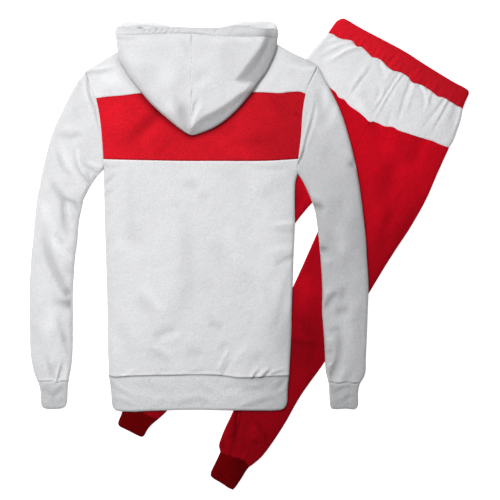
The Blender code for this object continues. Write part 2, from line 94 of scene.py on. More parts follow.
SLEEVE_R_OUT = ((317.3, 65.5), (322.2, 73.8), (327.2, 83.4), (332.9, 94.4), (339.3, 107.6), (344.6, 121.6),
                (350.0, 140.0), (353.6, 154.0), (359.2, 182.0), (361.9, 201.0), (364.2, 220.4), (366.2, 240.0),
                (367.3, 260.0), (368.3, 276.0), (368.5, 292.0), (367.8, 318.0), (367.0, 340.0), (366.2, 360.0),
                (365.8, 372.4), (364.0, 377.8), (361.2, 382.5))
SLEEVE_R_IN = ((297.7, 173.7), (301.4, 179.0), (305.2, 186.0), (308.6, 193.8), (312.3, 203.0), (315.3, 212.9),
               (317.0, 224.0), (318.4, 235.0), (319.6, 247.0), (320.7, 260.0), (321.6, 274.0), (322.3, 290.0),
               (322.2, 313.0), (323.4, 328.0), (324.3, 342.0), (325.1, 357.0), (325.6, 370.7), (328.1, 381.6))
CUFF_L_SEAM = ((36.5, 381.3), (44.0, 381.9), (52.0, 381.5), (57.0, 383.0), (62.0, 381.5), (68.2, 381.2))
CUFF_R_SEAM = ((361.2, 382.5), (354.0, 383.4), (346.0, 382.2), (338.0, 383.2), (328.1, 381.6))
CUFF_L_OUT = ((36.5, 381.3), (38.2, 385.0), (39.7, 393.0), (40.1, 403.6), (41.6, 407.6))
CUFF_L_IN = ((68.2, 381.2), (67.4, 386.0), (67.1, 394.0), (66.8, 401.0), (65.6, 406.0))
CUFF_L_END = ((41.6, 407.6), (44.5, 409.1), (54.0, 409.6), (62.0, 408.6), (65.6, 406.0))
CUFF_R_OUT = ((361.2, 382.5), (359.6, 386.0), (358.4, 394.0), (358.6, 404.0), (357.6, 408.0))
CUFF_R_IN = ((328.1, 381.6), (328.8, 386.0), (329.3, 395.0), (330.0, 405.6), (331.4, 409.0))
CUFF_R_END = ((357.6, 408.0), (355.0, 409.8), (346.0, 409.2), (337.0, 409.6), (331.4, 409.0))

HOOD_L = ((115.4, 35.0), (116.2, 42.0), (117.2, 49.0), (118.8, 60.0), (123.3, 68.4), (128.4, 76.6), (134.7, 84.9),
          (141.6, 92.9), (149.2, 101.9), (158.3, 110.9), (167.9, 119.3), (180.0, 128.9), (187.0, 133.4), (190.2, 135.0))
HOOD_R = ((277.4, 37.8), (277.0, 44.0), (275.9, 50.0), (273.6, 57.0), (270.4, 64.0), (266.4, 71.9), (259.6, 81.4),
          (252.3, 91.9), (242.0, 104.6), (231.6, 115.2), (221.0, 123.6), (210.5, 129.4), (201.5, 132.8), (195.4, 134.8), (191.6, 135.2))
HOOD_SEAM = ((191.6, 34.0), (192.8, 46.0), (192.3, 58.0), (191.6, 70.0), (191.5, 84.0), (192.3, 98.0), (191.3, 112.0), (190.0, 124.0), (190.6, 134.6))
CASING_SEAM_L = ((115.4, 35.0), (125.6, 35.5), (145.6, 34.7), (161.0, 33.6), (176.0, 33.3), (191.6, 33.6))
CASING_SEAM_R = ((191.6, 33.6), (198.0, 34.1), (214.0, 35.8), (229.0, 36.8), (247.6, 37.3), (262.7, 37.6), (277.4, 38.6))
NEAR_EDGE = ((115.2, 29.8), (118.0, 27.0), (124.0, 27.4), (131.5, 28.9), (140.0, 29.1), (149.0, 28.4), (160.0, 27.2),
             (170.0, 26.8), (178.0, 27.1), (190.0, 27.7), (204.0, 28.0), (216.0, 27.9), (226.0, 27.0), (236.0, 26.6),
             (247.0, 27.0), (256.0, 28.4), (264.0, 29.0), (271.0, 28.4), (275.4, 28.2), (277.9, 30.2))
FAR_EDGE = ((115.2, 29.8), (116.4, 26.6), (119.2, 24.0), (124.0, 22.1), (130.3, 21.5), (140.0, 22.0), (150.0, 22.1), (158.0, 22.6),
            (166.7, 24.6), (174.3, 27.4), (186.0, 29.6), (202.0, 29.8), (216.0, 28.6), (226.4, 25.5), (235.4, 22.9),
            (243.3, 21.4), (250.6, 21.0), (261.0, 20.8), (270.0, 21.0), (274.6, 22.9), (277.0, 26.2), (277.9, 30.2))

BAND_EDGE = ((341.2, 18.0), (344.4, 17.9), (349.0, 20.0), (358.0, 25.4), (367.4, 30.6), (379.0, 36.6), (390.4, 42.6), (400.0, 47.7),
             (408.7, 52.8), (420.0, 60.2), (431.0, 67.2), (444.0, 75.2), (456.5, 82.6), (464.0, 86.4), (468.2, 89.0))
BAND_L = ((341.2, 18.0), (337.0, 20.4), (332.6, 26.0), (328.4, 32.1))
BAND_R = ((468.2, 89.0), (469.7, 92.0), (465.8, 102.0), (463.5, 108.2))
WAIST_SEAM = ((328.4, 32.1), (334.0, 34.2), (338.5, 37.6), (343.5, 39.0), (348.6, 39.4), (353.4, 41.6), (357.2, 46.8), (361.6, 47.0),
              (367.0, 51.6), (372.6, 57.2), (377.4, 58.0), (382.0, 61.0), (387.6, 66.6), (393.0, 70.6), (398.4, 71.6), (404.0, 74.0),
              (408.8, 77.4), (413.0, 82.8), (418.4, 83.9), (425.6, 87.2), (433.2, 92.4), (438.0, 96.4), (444.0, 97.6), (449.8, 101.0),
              (456.6, 104.6), (463.5, 108.2))
YOKE_L = ((328.4, 32.1), (318.6, 42.7), (310.0, 53.0), (301.0, 64.0))
YOKE_R = ((463.5, 108.2), (462.4, 115.0), (460.4, 122.9), (457.2, 132.0), (454.3, 140.0), (449.8, 147.4))
YOKE_SEAM_L = ((301.0, 64.0), (315.0, 73.5), (325.0, 81.0), (329.0, 86.4), (335.6, 91.8), (339.0, 97.0), (344.0, 99.0),
               (349.4, 105.2), (358.5, 111.8), (364.0, 116.6), (370.0, 122.0))
YOKE_SEAM_R = ((370.0, 122.0), (373.4, 121.6), (379.0, 123.6), (385.0, 126.4), (392.8, 127.0), (398.6, 130.4), (407.0, 133.2), (416.0, 136.2),
               (424.0, 138.6), (433.0, 141.2), (441.0, 144.6), (449.8, 147.4))
LEG_L_OUT = ((301.0, 64.0), (285.0, 97.0), (268.4, 130.0), (246.0, 173.4), (222.0, 219.8), (197.0, 268.2), (172.0, 316.5),
             (148.0, 363.0), (133.0, 391.0), (127.0, 401.0), (124.0, 406.0))
LEG_L_IN = ((370.0, 122.0), (356.5, 148.0), (345.0, 172.0), (328.0, 188.0), (311.5, 203.7), (295.0, 223.7), (254.0, 284.0), (226.5, 324.5), (199.0, 364.5),
            (176.6, 397.5), (166.8, 411.3), (161.5, 416.6), (157.4, 420.2))
LEG_R_OUT = ((449.8, 147.4), (438.3, 172.7), (426.3, 200.0), (410.5, 228.0), (398.0, 247.0), (387.3, 263.6), (369.2, 293.5), (355.0, 316.0), (324.5, 363.0),
             (301.0, 396.0), (285.0, 424.0), (270.6, 446.0), (261.5, 457.6), (253.8, 464.4), (248.8, 468.0))
LEG_R_IN = ((370.0, 122.0), (356.5, 148.0), (345.0, 172.0), (331.0, 202.0), (316.8, 234.2), (293.7, 285.7), (275.2, 324.0), (257.0, 362.0), (238.4, 400.6),
            (230.6, 417.0), (225.0, 428.6), (220.6, 439.6), (218.8, 446.2), (220.2, 452.4))
CROTCH = (345.0, 172.0)
ANKLE_L_SEAM = ((124.0, 406.0), (133.0, 409.6), (142.0, 414.0), (150.0, 417.6), (157.4, 420.2))
ANKLE_R_SEAM = ((220.2, 452.4), (225.8, 456.3), (235.4, 458.4), (243.9, 461.4), (248.8, 468.0))
ANKLE_L_OUT = ((124.0, 406.0), (120.8, 415.0), (117.6, 423.6), (118.4, 426.4))
ANKLE_L_IN = ((157.4, 420.2), (152.9, 423.8), (148.0, 429.0), (144.0, 435.8), (142.4, 437.4))
ANKLE_L_END = ((118.4, 426.4), (121.0, 428.0), (127.9, 431.3), (135.0, 435.0), (140.0, 437.2), (142.4, 437.4))
ANKLE_R_IN = ((220.2, 452.4), (217.8, 458.0), (214.6, 464.6), (210.8, 472.8), (210.4, 476.6))
ANKLE_R_OUT = ((248.8, 468.0), (245.8, 472.0), (242.4, 477.6), (235.4, 488.0), (232.8, 490.6))
ANKLE_R_END = ((210.4, 476.6), (213.0, 479.0), (221.0, 483.8), (228.6, 488.8), (232.8, 490.6))

# ---- creases: path, half width mm, height mm, kind ----------------------------------------
# kind r: ridge (trough where the height is negative); f: fold, raised on the right hand of its
# path and sunk on the left; s: step up on the right hand. A capital starts at full strength.
BACK_CREASES = (
    (((187.6, 186), (188, 240), (190, 285), (185, 308), (174, 322), (158, 334)), 17, -1.2, "r"),
    (((131.6, 158), (132, 200), (133, 264)), 11, -0.6, "r"),
    (((138, 280), (150, 295), (164, 309), (177, 312)), 9, 1.1, "r"),
    (((136, 294), (147, 308), (162, 316)), 12, -1.2, "r"),
    (((150, 339), (160, 335), (170, 331.4), (180, 329)), 9, -1.5, "r"),
    (((158, 342), (170, 338), (184, 334)), 9, 0.8, "r"),
    (((207, 323), (215.4, 325.6), (226, 329)), 9, -1.6, "r"),
    (((228, 340), (224, 347), (220, 355)), 8, -1.1, "r"),
    (((186, 352), (196, 355), (206, 352)), 9, -1.4, "r"),
    (((147, 350), (160, 357), (176, 367)), 10, -1.4, "r"),
    (((150, 345), (164, 351), (178, 360)), 9, 0.8, "r"),
    (((230, 346), (224, 358), (215, 375)), 4, 1.3, "r"),
    (((222, 376), (228, 366), (234, 356)), 4, -1.2, "R"),
    (((252, 341), (240, 354), (226, 369)), 8, 0.9, "r"),
    (((246, 372), (256, 360), (266, 350)), 8, -0.9, "r"),
    (((253.0, 377), (256.0, 372.6), (260.4, 368.0)), 3.2, -2.2, "F"),
    (((258.2, 376.6), (261.6, 372), (266.6, 368.0)), 3.0, 1.5, "R"),
    (((262.0, 377), (266.4, 372.4), (272.4, 367.6)), 3.2, -2.4, "F"),
    (((274, 373), (282, 370.6), (290, 371.6)), 3.4, -1.3, "F"),
    (((292, 262), (286, 290), (279, 316), (271, 340)), 8, -1.6, "r"),
    (((262, 276), (270, 300), (276, 322)), 9, -0.8, "r"),
    (((292, 306), (287, 336), (282, 366)), 18, -1.6, "r"),
    (((293.6, 223.4), (284, 223.8), (268, 226)), 4.6, 1.6, "R"),
    (((293.4, 232), (282, 232), (270, 231)), 6, -1.4, "R"),
    (((292, 258), (284, 261), (272, 268)), 6, -2.0, "R"),
    (((292, 248), (278, 250), (262, 256)), 8, 1.0, "R"),
    (((246, 166), (266, 169), (294, 168)), 5, -1.6, "r"),
    (((290, 177), (276, 189), (258, 205)), 16, -1.0, "r"),
    (((206, 163), (220, 172), (246, 178)), 12, -0.8, "r"),
    (((104.6, 166), (112, 168), (124, 164)), 4.5, -1.5, "R"),
    (((104.6, 184), (110, 180), (118, 173)), 4.5, -1.5, "R"),
    (((104.8, 196), (112, 191), (120, 186)), 4.5, -1.1, "R"),
    (((184, 180), (192, 186), (202, 189)), 11, -1.6, "r"),
    (((196, 196), (204, 198), (212, 200)), 9, -1.0, "r"),
    (((170, 204), (176, 206), (183, 204)), 8, -0.8, "r"),
    (((120, 232), (136, 246), (150, 252)), 18, 0.7, "f"),
    (((214, 232), (228, 250), (232, 276)), 18, -0.8, "f"),
    (((240, 270), (252, 286), (256, 306)), 14, -0.8, "r"),
    (((206, 262), (208, 284), (214, 300)), 12, -0.6, "r"),
    (((110, 322), (120, 340), (128, 362)), 14, 0.8, "f"),
    (((124, 376), (132, 371), (146, 368)), 5, 0.9, "R"),
    (((157, 376), (165, 371), (178, 370)), 5, -1.0, "R"),
    (((186, 375), (198, 371.6), (212, 371)), 4, -1.1, "r"),
)
BAND_CREASES = (
    (((158, 112), (146, 124), (134, 135), (118, 154)), 13, -2.2, "R"),
    (((168, 124), (154, 134), (140, 150)), 12, 1.8, "r"),
    (((112, 100), (116, 118), (122, 134)), 14, 1.0, "r"),
    (((172, 134), (160, 145), (150, 158)), 10, 0.7, "f"),
    (((292, 112), (299, 116), (303, 121)), 4, -1.6, "r"),
    (((248, 138), (262, 142), (284, 140)), 12, -1.1, "r"),
    (((222, 150), (240, 147), (262, 152)), 12, 0.8, "f"),
    (((210, 136), (228, 136), (246, 124)), 14, 0.8, "f"),
    (((262, 104), (276, 112), (284, 126)), 14, 0.7, "f"),
)
YOKE_CREASES = (
    (((85.5, 71.6), (99.7, 71), (112, 68), (121, 66)), 4.5, -1.9, "F"),
    (((96, 76), (110, 80), (124, 78)), 14, 0.8, "r"),
    (((103, 86), (114, 88), (128, 84)), 10, -0.6, "f"),
    (((317.3, 67), (306, 67), (292, 63), (280, 58)), 6.0, -1.0, "F"),
    (((284, 76), (292, 80), (302, 80)), 12, 0.6, "f"),
)
SLEEVE_L_CREASES = (
    (((86.4, 72.4), (88.8, 77), (88.2, 84.7), (90.5, 97), (94.4, 106.4), (97.3, 118.7), (99.6, 131), (100.9, 152)), 2.3, -2.4, "R"),
    (((83.4, 75), (84.6, 84), (87, 96), (91, 108), (95, 122)), 4.5, 1.2, "R"),
    (((56.0, 135.0), (65, 136.4), (71, 137.4), (78, 136.0), (88, 137.6)), 6.5, -2.2, "r"),
    (((60, 128), (70, 129), (82, 128)), 8.0, 0.8, "r"),
    (((89.6, 192.4), (79.6, 178.8), (69.6, 161.6), (58.0, 140.0)), 7.0, 3.0, "R"),
    (((57.4, 148), (61.0, 162), (66.2, 172), (76, 180)), 4.6, -2.2, "r"),
    (((92.4, 186), (85, 176.4), (79.4, 168), (76.0, 158), (74.0, 142)), 3.8, -2.2, "R"),
    (((88.6, 178), (82, 168), (79.0, 157), (78.4, 146)), 5.0, 1.3, "r"),
    (((97.0, 172.8), (91.8, 169.4), (87.2, 166.2), (81.4, 164.8)), 2.4, -2.4, "R"),
    (((101.8, 168), (95, 165.0), (86, 160.0)), 4.4, 1.9, "R"),
    (((91.6, 181), (88.6, 175.6), (86, 170)), 3.6, -1.3, "R"),
    (((48, 172), (55, 187.6), (63.0, 199.8), (64.6, 214), (66.8, 229), (75.8, 239.4)), 6.4, -3.2, "r"),
    (((60.0, 197), (68, 201), (75.7, 204.6), (81.0, 214.6)), 4.2, -3.0, "r"),
    (((83.8, 202.8), (81.6, 202.6), (79.2, 201.6)), 2.6, -3.6, "R"),
    (((66.6, 205), (69.6, 212), (74, 220)), 4.4, 2.2, "r"),
    (((71, 224), (75, 229), (78, 232)), 4.0, 1.2, "r"),
    (((41, 196), (48, 214), (57, 230), (64, 246)), 9, 2.6, "r"),
    (((54, 232), (60, 240), (68, 245)), 4.6, -1.5, "r"),
    (((67.0, 294), (60.0, 280), (53.0, 266), (48.2, 252), (45.6, 238), (43.6, 218)), 8.5, -3.8, "R"),
    (((66, 286), (69, 298), (70, 312)), 7.0, -2.4, "r"),
    (((75, 262), (67, 258), (58.6, 248), (51, 230)), 8.0, 2.8, "R"),
    (((75, 276), (69, 272), (62, 264)), 7.0, -1.2, "R"),
    (((73.6, 308.0), (67.4, 305.6), (60, 303.4), (50, 303)), 8.0, -3.6, "R"),
    (((73, 296), (67, 297), (59, 299)), 6.0, 1.5, "R"),
    (((56.0, 314), (62, 330), (67.6, 350)), 5.5, -1.9, "r"),
    (((47, 300), (53, 318), (57, 340)), 11, 0.9, "r"),
    (((53.4, 379), (49.2, 366), (44.0, 350)), 4.2, -2.2, "R"),
    (((55.4, 382), (58.0, 371), (60.8, 359)), 2.6, 2.4, "R"),
    (((57.6, 382), (61.4, 371), (63.4, 358)), 2.6, -1.6, "R"),
    (((69.4, 362), (67.0, 348), (62.0, 330)), 5.0, -1.8, "r"),
    (((66.4, 381), (66.8, 370), (66.4, 361)), 4.6, 1.8, "R"),
    (((40, 318), (43, 336), (43, 352)), 12, -0.7, "f"),
)
SLEEVE_R_CREASES = (
    (((317.0, 66), (311.6, 77), (307.0, 91)), 3.0, -2.2, "R"),
    (((298.2, 163.2), (302.4, 156.6), (306.3, 141.8), (311.0, 125.5), (315.0, 109), (316.4, 90)), 2.8, -3.0, "R"),
    (((299.0, 160), (303.6, 140), (308.4, 122), (312.2, 104), (313.6, 92)), 3.0, 1.3, "R"),
    (((303, 150), (309, 138), (314.6, 124), (318.6, 108), (320, 94)), 5.0, 1.5, "R"),
    (((322, 84), (324, 100), (322, 116)), 8, -1.4, "f"),
    (((334, 100), (330, 118), (324, 132)), 11, -1.4, "f"),
    (((357.2, 166.6), (353, 165), (346.6, 163)), 5.5, -3.2, "R"),
    (((354, 156), (348, 154), (341, 156)), 9, 1.2, "R"),
    (((312.2, 205.0), (317, 206.6), (327, 211)), 6.0, -4.4, "R"),
    (((309, 196), (315, 197.4), (325, 200)), 7, 1.8, "R"),
    (((318.0, 248.6), (324.6, 249.8), (332, 250)), 6.0, -4.2, "R"),
    (((319.6, 262), (328, 262), (338, 259)), 8, 2.2, "R"),
    (((323.0, 315), (327, 305.6), (334.5, 296.4), (340, 289)), 7.0, -3.0, "r"),
    (((320.6, 298), (326, 294), (333, 287)), 7.0, 1.6, "R"),
    (((347, 286), (343, 296), (340, 304)), 8.0, -1.8, "r"),
    (((334, 310), (340, 312), (345, 311), (352, 308)), 8.5, -2.8, "r"),
    (((327, 333), (334, 331), (342, 328)), 7.0, -1.8, "r"),
    (((333.0, 374), (338.6, 360), (340.4, 344), (338.8, 318)), 7.5, -3.0, "R"),
    (((326.6, 353), (330.6, 352.6), (336, 350)), 6.4, -2.0, "R"),
    (((326.6, 340), (331, 341), (336, 341)), 6.0, 1.6, "R"),
    (((328.6, 366), (331, 364.6), (335, 362)), 4.0, 1.6, "R"),
    (((340, 383), (344, 374), (350, 362)), 8.0, 1.8, "R"),
    (((332, 382), (331.6, 376), (330, 370)), 3.5, -1.4, "R"),
    (((346, 216), (352, 236), (350, 262)), 18, 1.0, "f"),
    (((330, 226), (338, 240), (340, 262)), 14, -0.8, "f"),
    (((352, 300), (356, 324), (352, 350)), 14, 0.8, "f"),
)
HOOD_CREASES = (
    (((268.0, 40), (264.6, 52), (257.0, 66), (249.6, 75), (241.0, 82)), 5.0, -1.2, "R"),
    (((191.6, 127), (195.4, 119), (200.6, 109), (208.0, 97)), 5.0, 1.5, "R"),
    (((192.6, 120), (193.6, 112), (196.0, 105), (200, 98)), 3.0, -1.7, "r"),
    (((192.2, 34), (192.0, 42), (191.2, 50)), 2.4, -1.8, "R"),
    (((189.0, 133), (186.6, 124), (183.6, 113), (183, 101)), 11.0, -3.0, "R"),
    (((170, 96), (176, 106), (182, 118)), 9.0, 1.0, "f"),
    (((150, 60), (158, 78), (160, 94)), 22.0, -0.8, "f"),
    (((214, 44), (222, 62), (220, 84)), 22.0, 0.8, "f"),
    (((119, 38.8), (130, 38.8), (146, 37)), 5.0, -1.5, "R"),
    (((128, 48), (134, 60), (140, 70)), 12.0, 0.8, "r"),
    (((150, 101), (160, 109), (172, 116)), 6.0, 0.9, "r"),
    (((176, 44), (184, 50), (188, 60)), 9.0, 0.7, "f"),
    (((208, 39), (216, 42), (230, 43)), 5.0, 0.8, "r"),
    (((232, 40), (244, 44), (256, 44)), 7.0, -0.7, "f"),
    (((196, 88), (204, 80), (214, 76)), 9.0, 0.8, "f"),
    (((194, 88), (192.4, 94), (191.6, 101)), 1.8, -1.2, "r"),
)
CASING_CREASES = tuple(
    (((x, 34.4), (x + 2.2, 31.2), (x + 4.6, 28.4)), 2.2, depth, "r")
    for x, depth in ((143.0, -1.1), (149.0, -0.8), (154.6, -1.4), (160.4, -1.0), (165.6, -1.3), (171.6, -0.9),
                     (178.0, -0.6), (205.0, -0.5), (214.0, -0.7), (231.0, -0.5))
)
CASING_INSIDE = (
    (((120, 27.5), (130, 25.2), (143, 24.4), (156, 25.6), (166, 28.2)), 1.5, 1.2, "r"),
    (((122, 29), (134, 26.8), (146, 26.2), (158, 27.4)), 1.3, -1.2, "r"),
    (((236, 26), (248, 23.8), (258, 23.4), (268, 25)), 1.5, 1.0, "r"),
)
HEM_CREASES = (
    (((110, 379), (118, 388), (128, 393), (140, 402)), 5, -1.3, "F"),
    (((128, 384), (150, 392), (172, 392)), 9, 0.7, "f"),
    (((112, 396), (122, 400), (138, 407)), 5, -0.9, "f"),
    (((170, 404), (196, 399), (222, 404)), 6, -0.9, "f"),
    (((196, 382), (214, 390), (230, 392)), 7, -0.8, "f"),
    (((206, 384), (226, 392), (246, 386)), 7, 0.9, "f"),
    (((240, 384), (254, 387), (270, 384)), 6, -1.2, "f"),
    (((246, 405), (262, 400), (284, 392)), 6, -1.1, "F"),
    (((288, 379), (281, 388), (268, 396)), 5, -1.4, "F"),
    (((150, 400), (160, 396), (176, 396)), 7, 0.7, "f"),
)
CUFF_CREASES = (
    (((39, 385), (46, 391.6), (52.8, 396.4), (60, 391), (67.6, 383.6)), 5.5, -2.2, "r"),
    (((48, 385), (54, 388), (60, 384)), 4.5, 1.2, "r"),
    (((47, 402), (54, 399), (63, 402)), 6, -0.6, "f"),
    (((355, 386), (346, 388), (336, 392), (331, 397)), 4, -1.3, "r"),
    (((357, 394), (348, 396), (336, 402)), 4.5, 0.8, "f"),
    (((334, 386), (342, 384.5), (350, 386)), 4, 1.0, "r"),
)
# Gathers below the waistband, as folds fanning down the yoke
YOKE_FOLDS = (
    (((359, 45), (348, 47.4), (337.6, 53), (325, 59), (313, 65)), 5.0, -2.4, "F"),
    (((356, 47), (345, 51), (334, 57), (322, 62)), 4.0, 1.4, "R"),
    (((348.7, 41), (338, 43.6), (326.5, 48), (316, 56)), 4.5, -1.5, "F"),
    (((338, 37), (330, 40), (322, 46)), 4.0, -1.0, "F"),
    (((373.0, 58), (369.6, 69), (361, 81), (350, 95.6), (336, 114)), 3.0, -1.4, "r"),
    (((370, 58), (365, 69), (356.6, 80.6), (346, 94)), 4.5, 1.0, "r"),
    (((381, 63), (384, 72), (387, 79)), 4.0, -1.3, "F"),
    (((391, 71), (386, 78), (379, 80)), 4.0, 1.0, "R"),
    (((377, 82), (381, 90), (380, 97), (374, 104)), 4.0, -1.2, "f"),
    (((399, 72.6), (389.4, 88.4), (380, 104), (364, 131)), 2.8, -1.6, "R"),
    (((404, 75), (396, 85), (386, 103), (371, 132)), 3.0, -1.1, "R"),
    (((402, 74), (393, 87), (383, 103), (374, 119)), 2.6, 1.4, "R"),
    (((411, 80), (408, 88), (404, 99), (395, 134)), 3.0, -1.7, "R"),
    (((414, 83.6), (412, 92), (408, 104), (404, 118)), 4.0, 1.3, "R"),
    (((421, 86), (424.6, 95), (425.6, 105), (421, 114)), 3.4, -1.7, "F"),
    (((432, 92), (430, 100), (430, 110)), 3.6, 1.1, "F"),
    (((445, 98), (438, 108), (431, 117), (418, 134)), 2.6, -1.6, "R"),
    (((450, 101), (443.6, 113), (438, 122), (427, 141)), 2.6, -1.5, "R"),
    (((447, 100), (441, 111), (434.6, 121), (429, 129)), 2.6, 1.2, "R"),
    (((456, 104.4), (452, 118), (448, 130)), 3.4, -1.3, "R"),
    (((460, 107), (457, 120), (452, 134)), 4.0, -1.2, "F"),
    (((337, 88.5), (342, 90.4), (348, 87)), 4.0, -1.5, "r"),
    (((343, 96), (347, 92), (350, 86)), 3.6, -1.2, "R"),
    (((357, 96), (366, 104), (372, 116)), 9.0, 0.9, "f"),
    (((325, 66), (336, 74), (348, 76)), 12.0, 0.8, "f"),
    (((388, 126), (390, 116), (394, 106)), 3.6, -1.0, "R"),
)
BACK_LEG_R_CREASES = (
    (((370, 122), (375, 128), (378, 138)), 9.0, -0.8, "R"),
    (((381, 124), (384, 132), (382, 142)), 5.0, 1.0, "R"),
    (((399, 131), (396, 146), (390, 170)), 14.0, 0.9, "F"),
    (((426, 140), (419, 160), (410, 184)), 15.0, -1.4, "F"),
    (((404, 150), (396, 180), (384, 214)), 20.0, -1.2, "f"),
    (((386, 200), (380, 230), (372, 256)), 12.0, 1.2, "f"),
    (((418, 196), (400, 226), (384, 250)), 12.0, 1.0, "f"),
    (((300, 276), (308, 286), (312, 302)), 14.0, 1.3, "r"),
    (((291, 338), (302, 341), (320, 343)), 6.0, -1.0, "f"),
    (((296, 318), (303, 330), (305, 342)), 9.0, 0.8, "f"),
    (((239.6, 408), (237.2, 424), (234.6, 442), (236.4, 458)), 5.0, -3.2, "R"),
    (((252, 418), (245, 432), (244, 446), (252, 455)), 6.0, -0.8, "r"),
    (((252, 418), (262, 430), (267.4, 441), (264, 450)), 4.0, -1.6, "r"),
    (((253, 424), (256.4, 436), (256, 446)), 8.0, 2.0, "r"),
    (((253, 440), (256, 444), (259, 446)), 3.4, -1.8, "r"),
    (((229, 424), (227, 436), (229, 450)), 5.0, 1.4, "r"),
    (((221, 440), (224, 446), (223, 452)), 3.5, -1.2, "r"),
    (((243, 461), (246, 452), (250, 448)), 3.5, 1.2, "R"),
    (((230, 457), (232, 450), (231, 444)), 3.0, -1.2, "R"),
)
BACK_LEG_L_CREASES = (
    (((300, 180), (304, 196), (296, 214)), 8.0, -1.0, "f"),
    (((131, 407), (134, 411), (133, 414)), 4.0, -1.2, "r"),
    (((150, 417), (152, 411), (158, 407)), 4.0, 1.2, "R"),
    (((280, 110), (300, 120), (330, 118)), 12.0, 0.6, "f"),
)
WAIST_CREASES = tuple(
    (((x0, y0), ((x0 + x1) / 2 + 0.5, (y0 + y1) / 2), (x1, y1)), width, height, "F")
    for x0, y0, x1, y1, width, height in (
        (338.5, 37.6, 341.5, 28.0, 3.2, 0.8), (348.6, 39.4, 352.6, 31.0, 3.0, -0.7), (357.2, 46.8, 363.4, 36.0, 3.2, 1.2),
        (366.8, 51.6, 371.0, 43.4, 3.0, -0.8), (373.0, 57.4, 379.6, 45.6, 3.0, 1.2), (382.0, 61.0, 388.0, 50.0, 3.0, -0.9),
        (387.6, 66.6, 393.6, 56.0, 3.0, 1.1), (392.8, 61.7, 399.8, 51.5, 3.4, 1.5), (398.4, 71.6, 404.4, 60.0, 3.0, -1.0),
        (408.8, 77.4, 413.2, 66.6, 3.2, 1.1), (414.4, 73.8, 418.9, 65.0, 3.0, 1.2), (418.4, 83.9, 424.0, 73.0, 3.0, -0.9),
        (425.6, 87.2, 431.0, 77.0, 3.0, 1.0), (433.2, 92.4, 439.0, 80.6, 3.2, -0.9), (438.0, 96.4, 443.6, 84.4, 3.0, 1.1),
        (449.8, 101.0, 455.6, 90.0, 3.2, -0.8), (456.6, 104.6, 461.4, 95.0, 3.0, 0.8),
    )
)


# ---- fields -------------------------------------------------------------------------------
def smooth(t):
    t = np.clip(t, 0.0, 1.0)
    return t * t * (3 - 2 * t)


def roll(e, radius):
    """Quarter circle: 0 at an edge, 1 once the radius is passed."""
    k = 1 - np.clip(e / radius, 0.0, 1.0)
    return np.sqrt(1 - k * k)


def curve(points, steps=8):
    """The points joined by a smooth line (centripetal Catmull-Rom)."""
    p = np.asarray(points, float)
    if len(p) < 3:
        return p
    p = np.vstack([2 * p[0] - p[1], p, 2 * p[-1] - p[-2]])
    out = []
    for k in range(1, len(p) - 2):
        p0, p1, p2, p3 = p[k - 1:k + 3]
        t0 = 0.0
        t1 = t0 + max(np.linalg.norm(p1 - p0), 1e-6) ** 0.5
        t2 = t1 + max(np.linalg.norm(p2 - p1), 1e-6) ** 0.5
        t3 = t2 + max(np.linalg.norm(p3 - p2), 1e-6) ** 0.5
        t = np.linspace(t1, t2, steps, endpoint=False)[:, None]
        a1 = (t1 - t) / (t1 - t0) * p0 + (t - t0) / (t1 - t0) * p1
        a2 = (t2 - t) / (t2 - t1) * p1 + (t - t1) / (t2 - t1) * p2
        a3 = (t3 - t) / (t3 - t2) * p2 + (t - t2) / (t3 - t2) * p3
        b1 = (t2 - t) / (t2 - t0) * a1 + (t - t0) / (t2 - t0) * a2
        b2 = (t3 - t) / (t3 - t1) * a2 + (t - t1) / (t3 - t1) * a3
        out.append((t2 - t) / (t2 - t1) * b1 + (t - t1) / (t2 - t1) * b2)
    return np.vstack([*out, p[-2][None]])


def length_of(line):
    return float(np.linalg.norm(np.diff(line, axis=0), axis=1).sum())


def at(line, t):
    """Points at shares t of the line's length."""
    steps = np.linalg.norm(np.diff(line, axis=0), axis=1)
    place = np.concatenate([[0], np.cumsum(steps)])
    place /= place[-1]
    return np.stack([np.interp(t, place, line[:, k]) for k in (0, 1)], axis=-1)


def measure(X, Y, line):
    """Distance to a polyline in mm, +1 on its right hand (as drawn) and -1 on its left, and the
    place along it from 0 to 1."""
    best, side, place = np.full(X.shape, 1e9), np.zeros(X.shape), np.zeros(X.shape)
    total, done = length_of(line), 0.0
    for (ax, ay), (bx, by) in zip(line[:-1], line[1:]):
        dx, dy = bx - ax, by - ay
        span = math.hypot(dx, dy)
        if span < 1e-9:
            continue
        t = np.clip(((X - ax) * dx + (Y - ay) * dy) / span ** 2, 0, 1)
        d = np.hypot(X - ax - t * dx, Y - ay - t * dy)
        near = d < best
        best = np.where(near, d, best)
        side = np.where(near, np.sign(dx * (Y - ay) - dy * (X - ax)), side)
        place = np.where(near, (done + t * span) / total, place)
        done += span
    return best * MM, side, place


def inside(X, Y, line):
    found = np.zeros(X.shape, bool)
    for (ax, ay), (bx, by) in zip(line, np.roll(line, -1, axis=0)):
        if ay == by:
            continue
        crosses = ((ay > Y) != (by > Y)) & (X < (bx - ax) * (Y - ay) / (by - ay) + ax)
        found ^= crosses
    return found


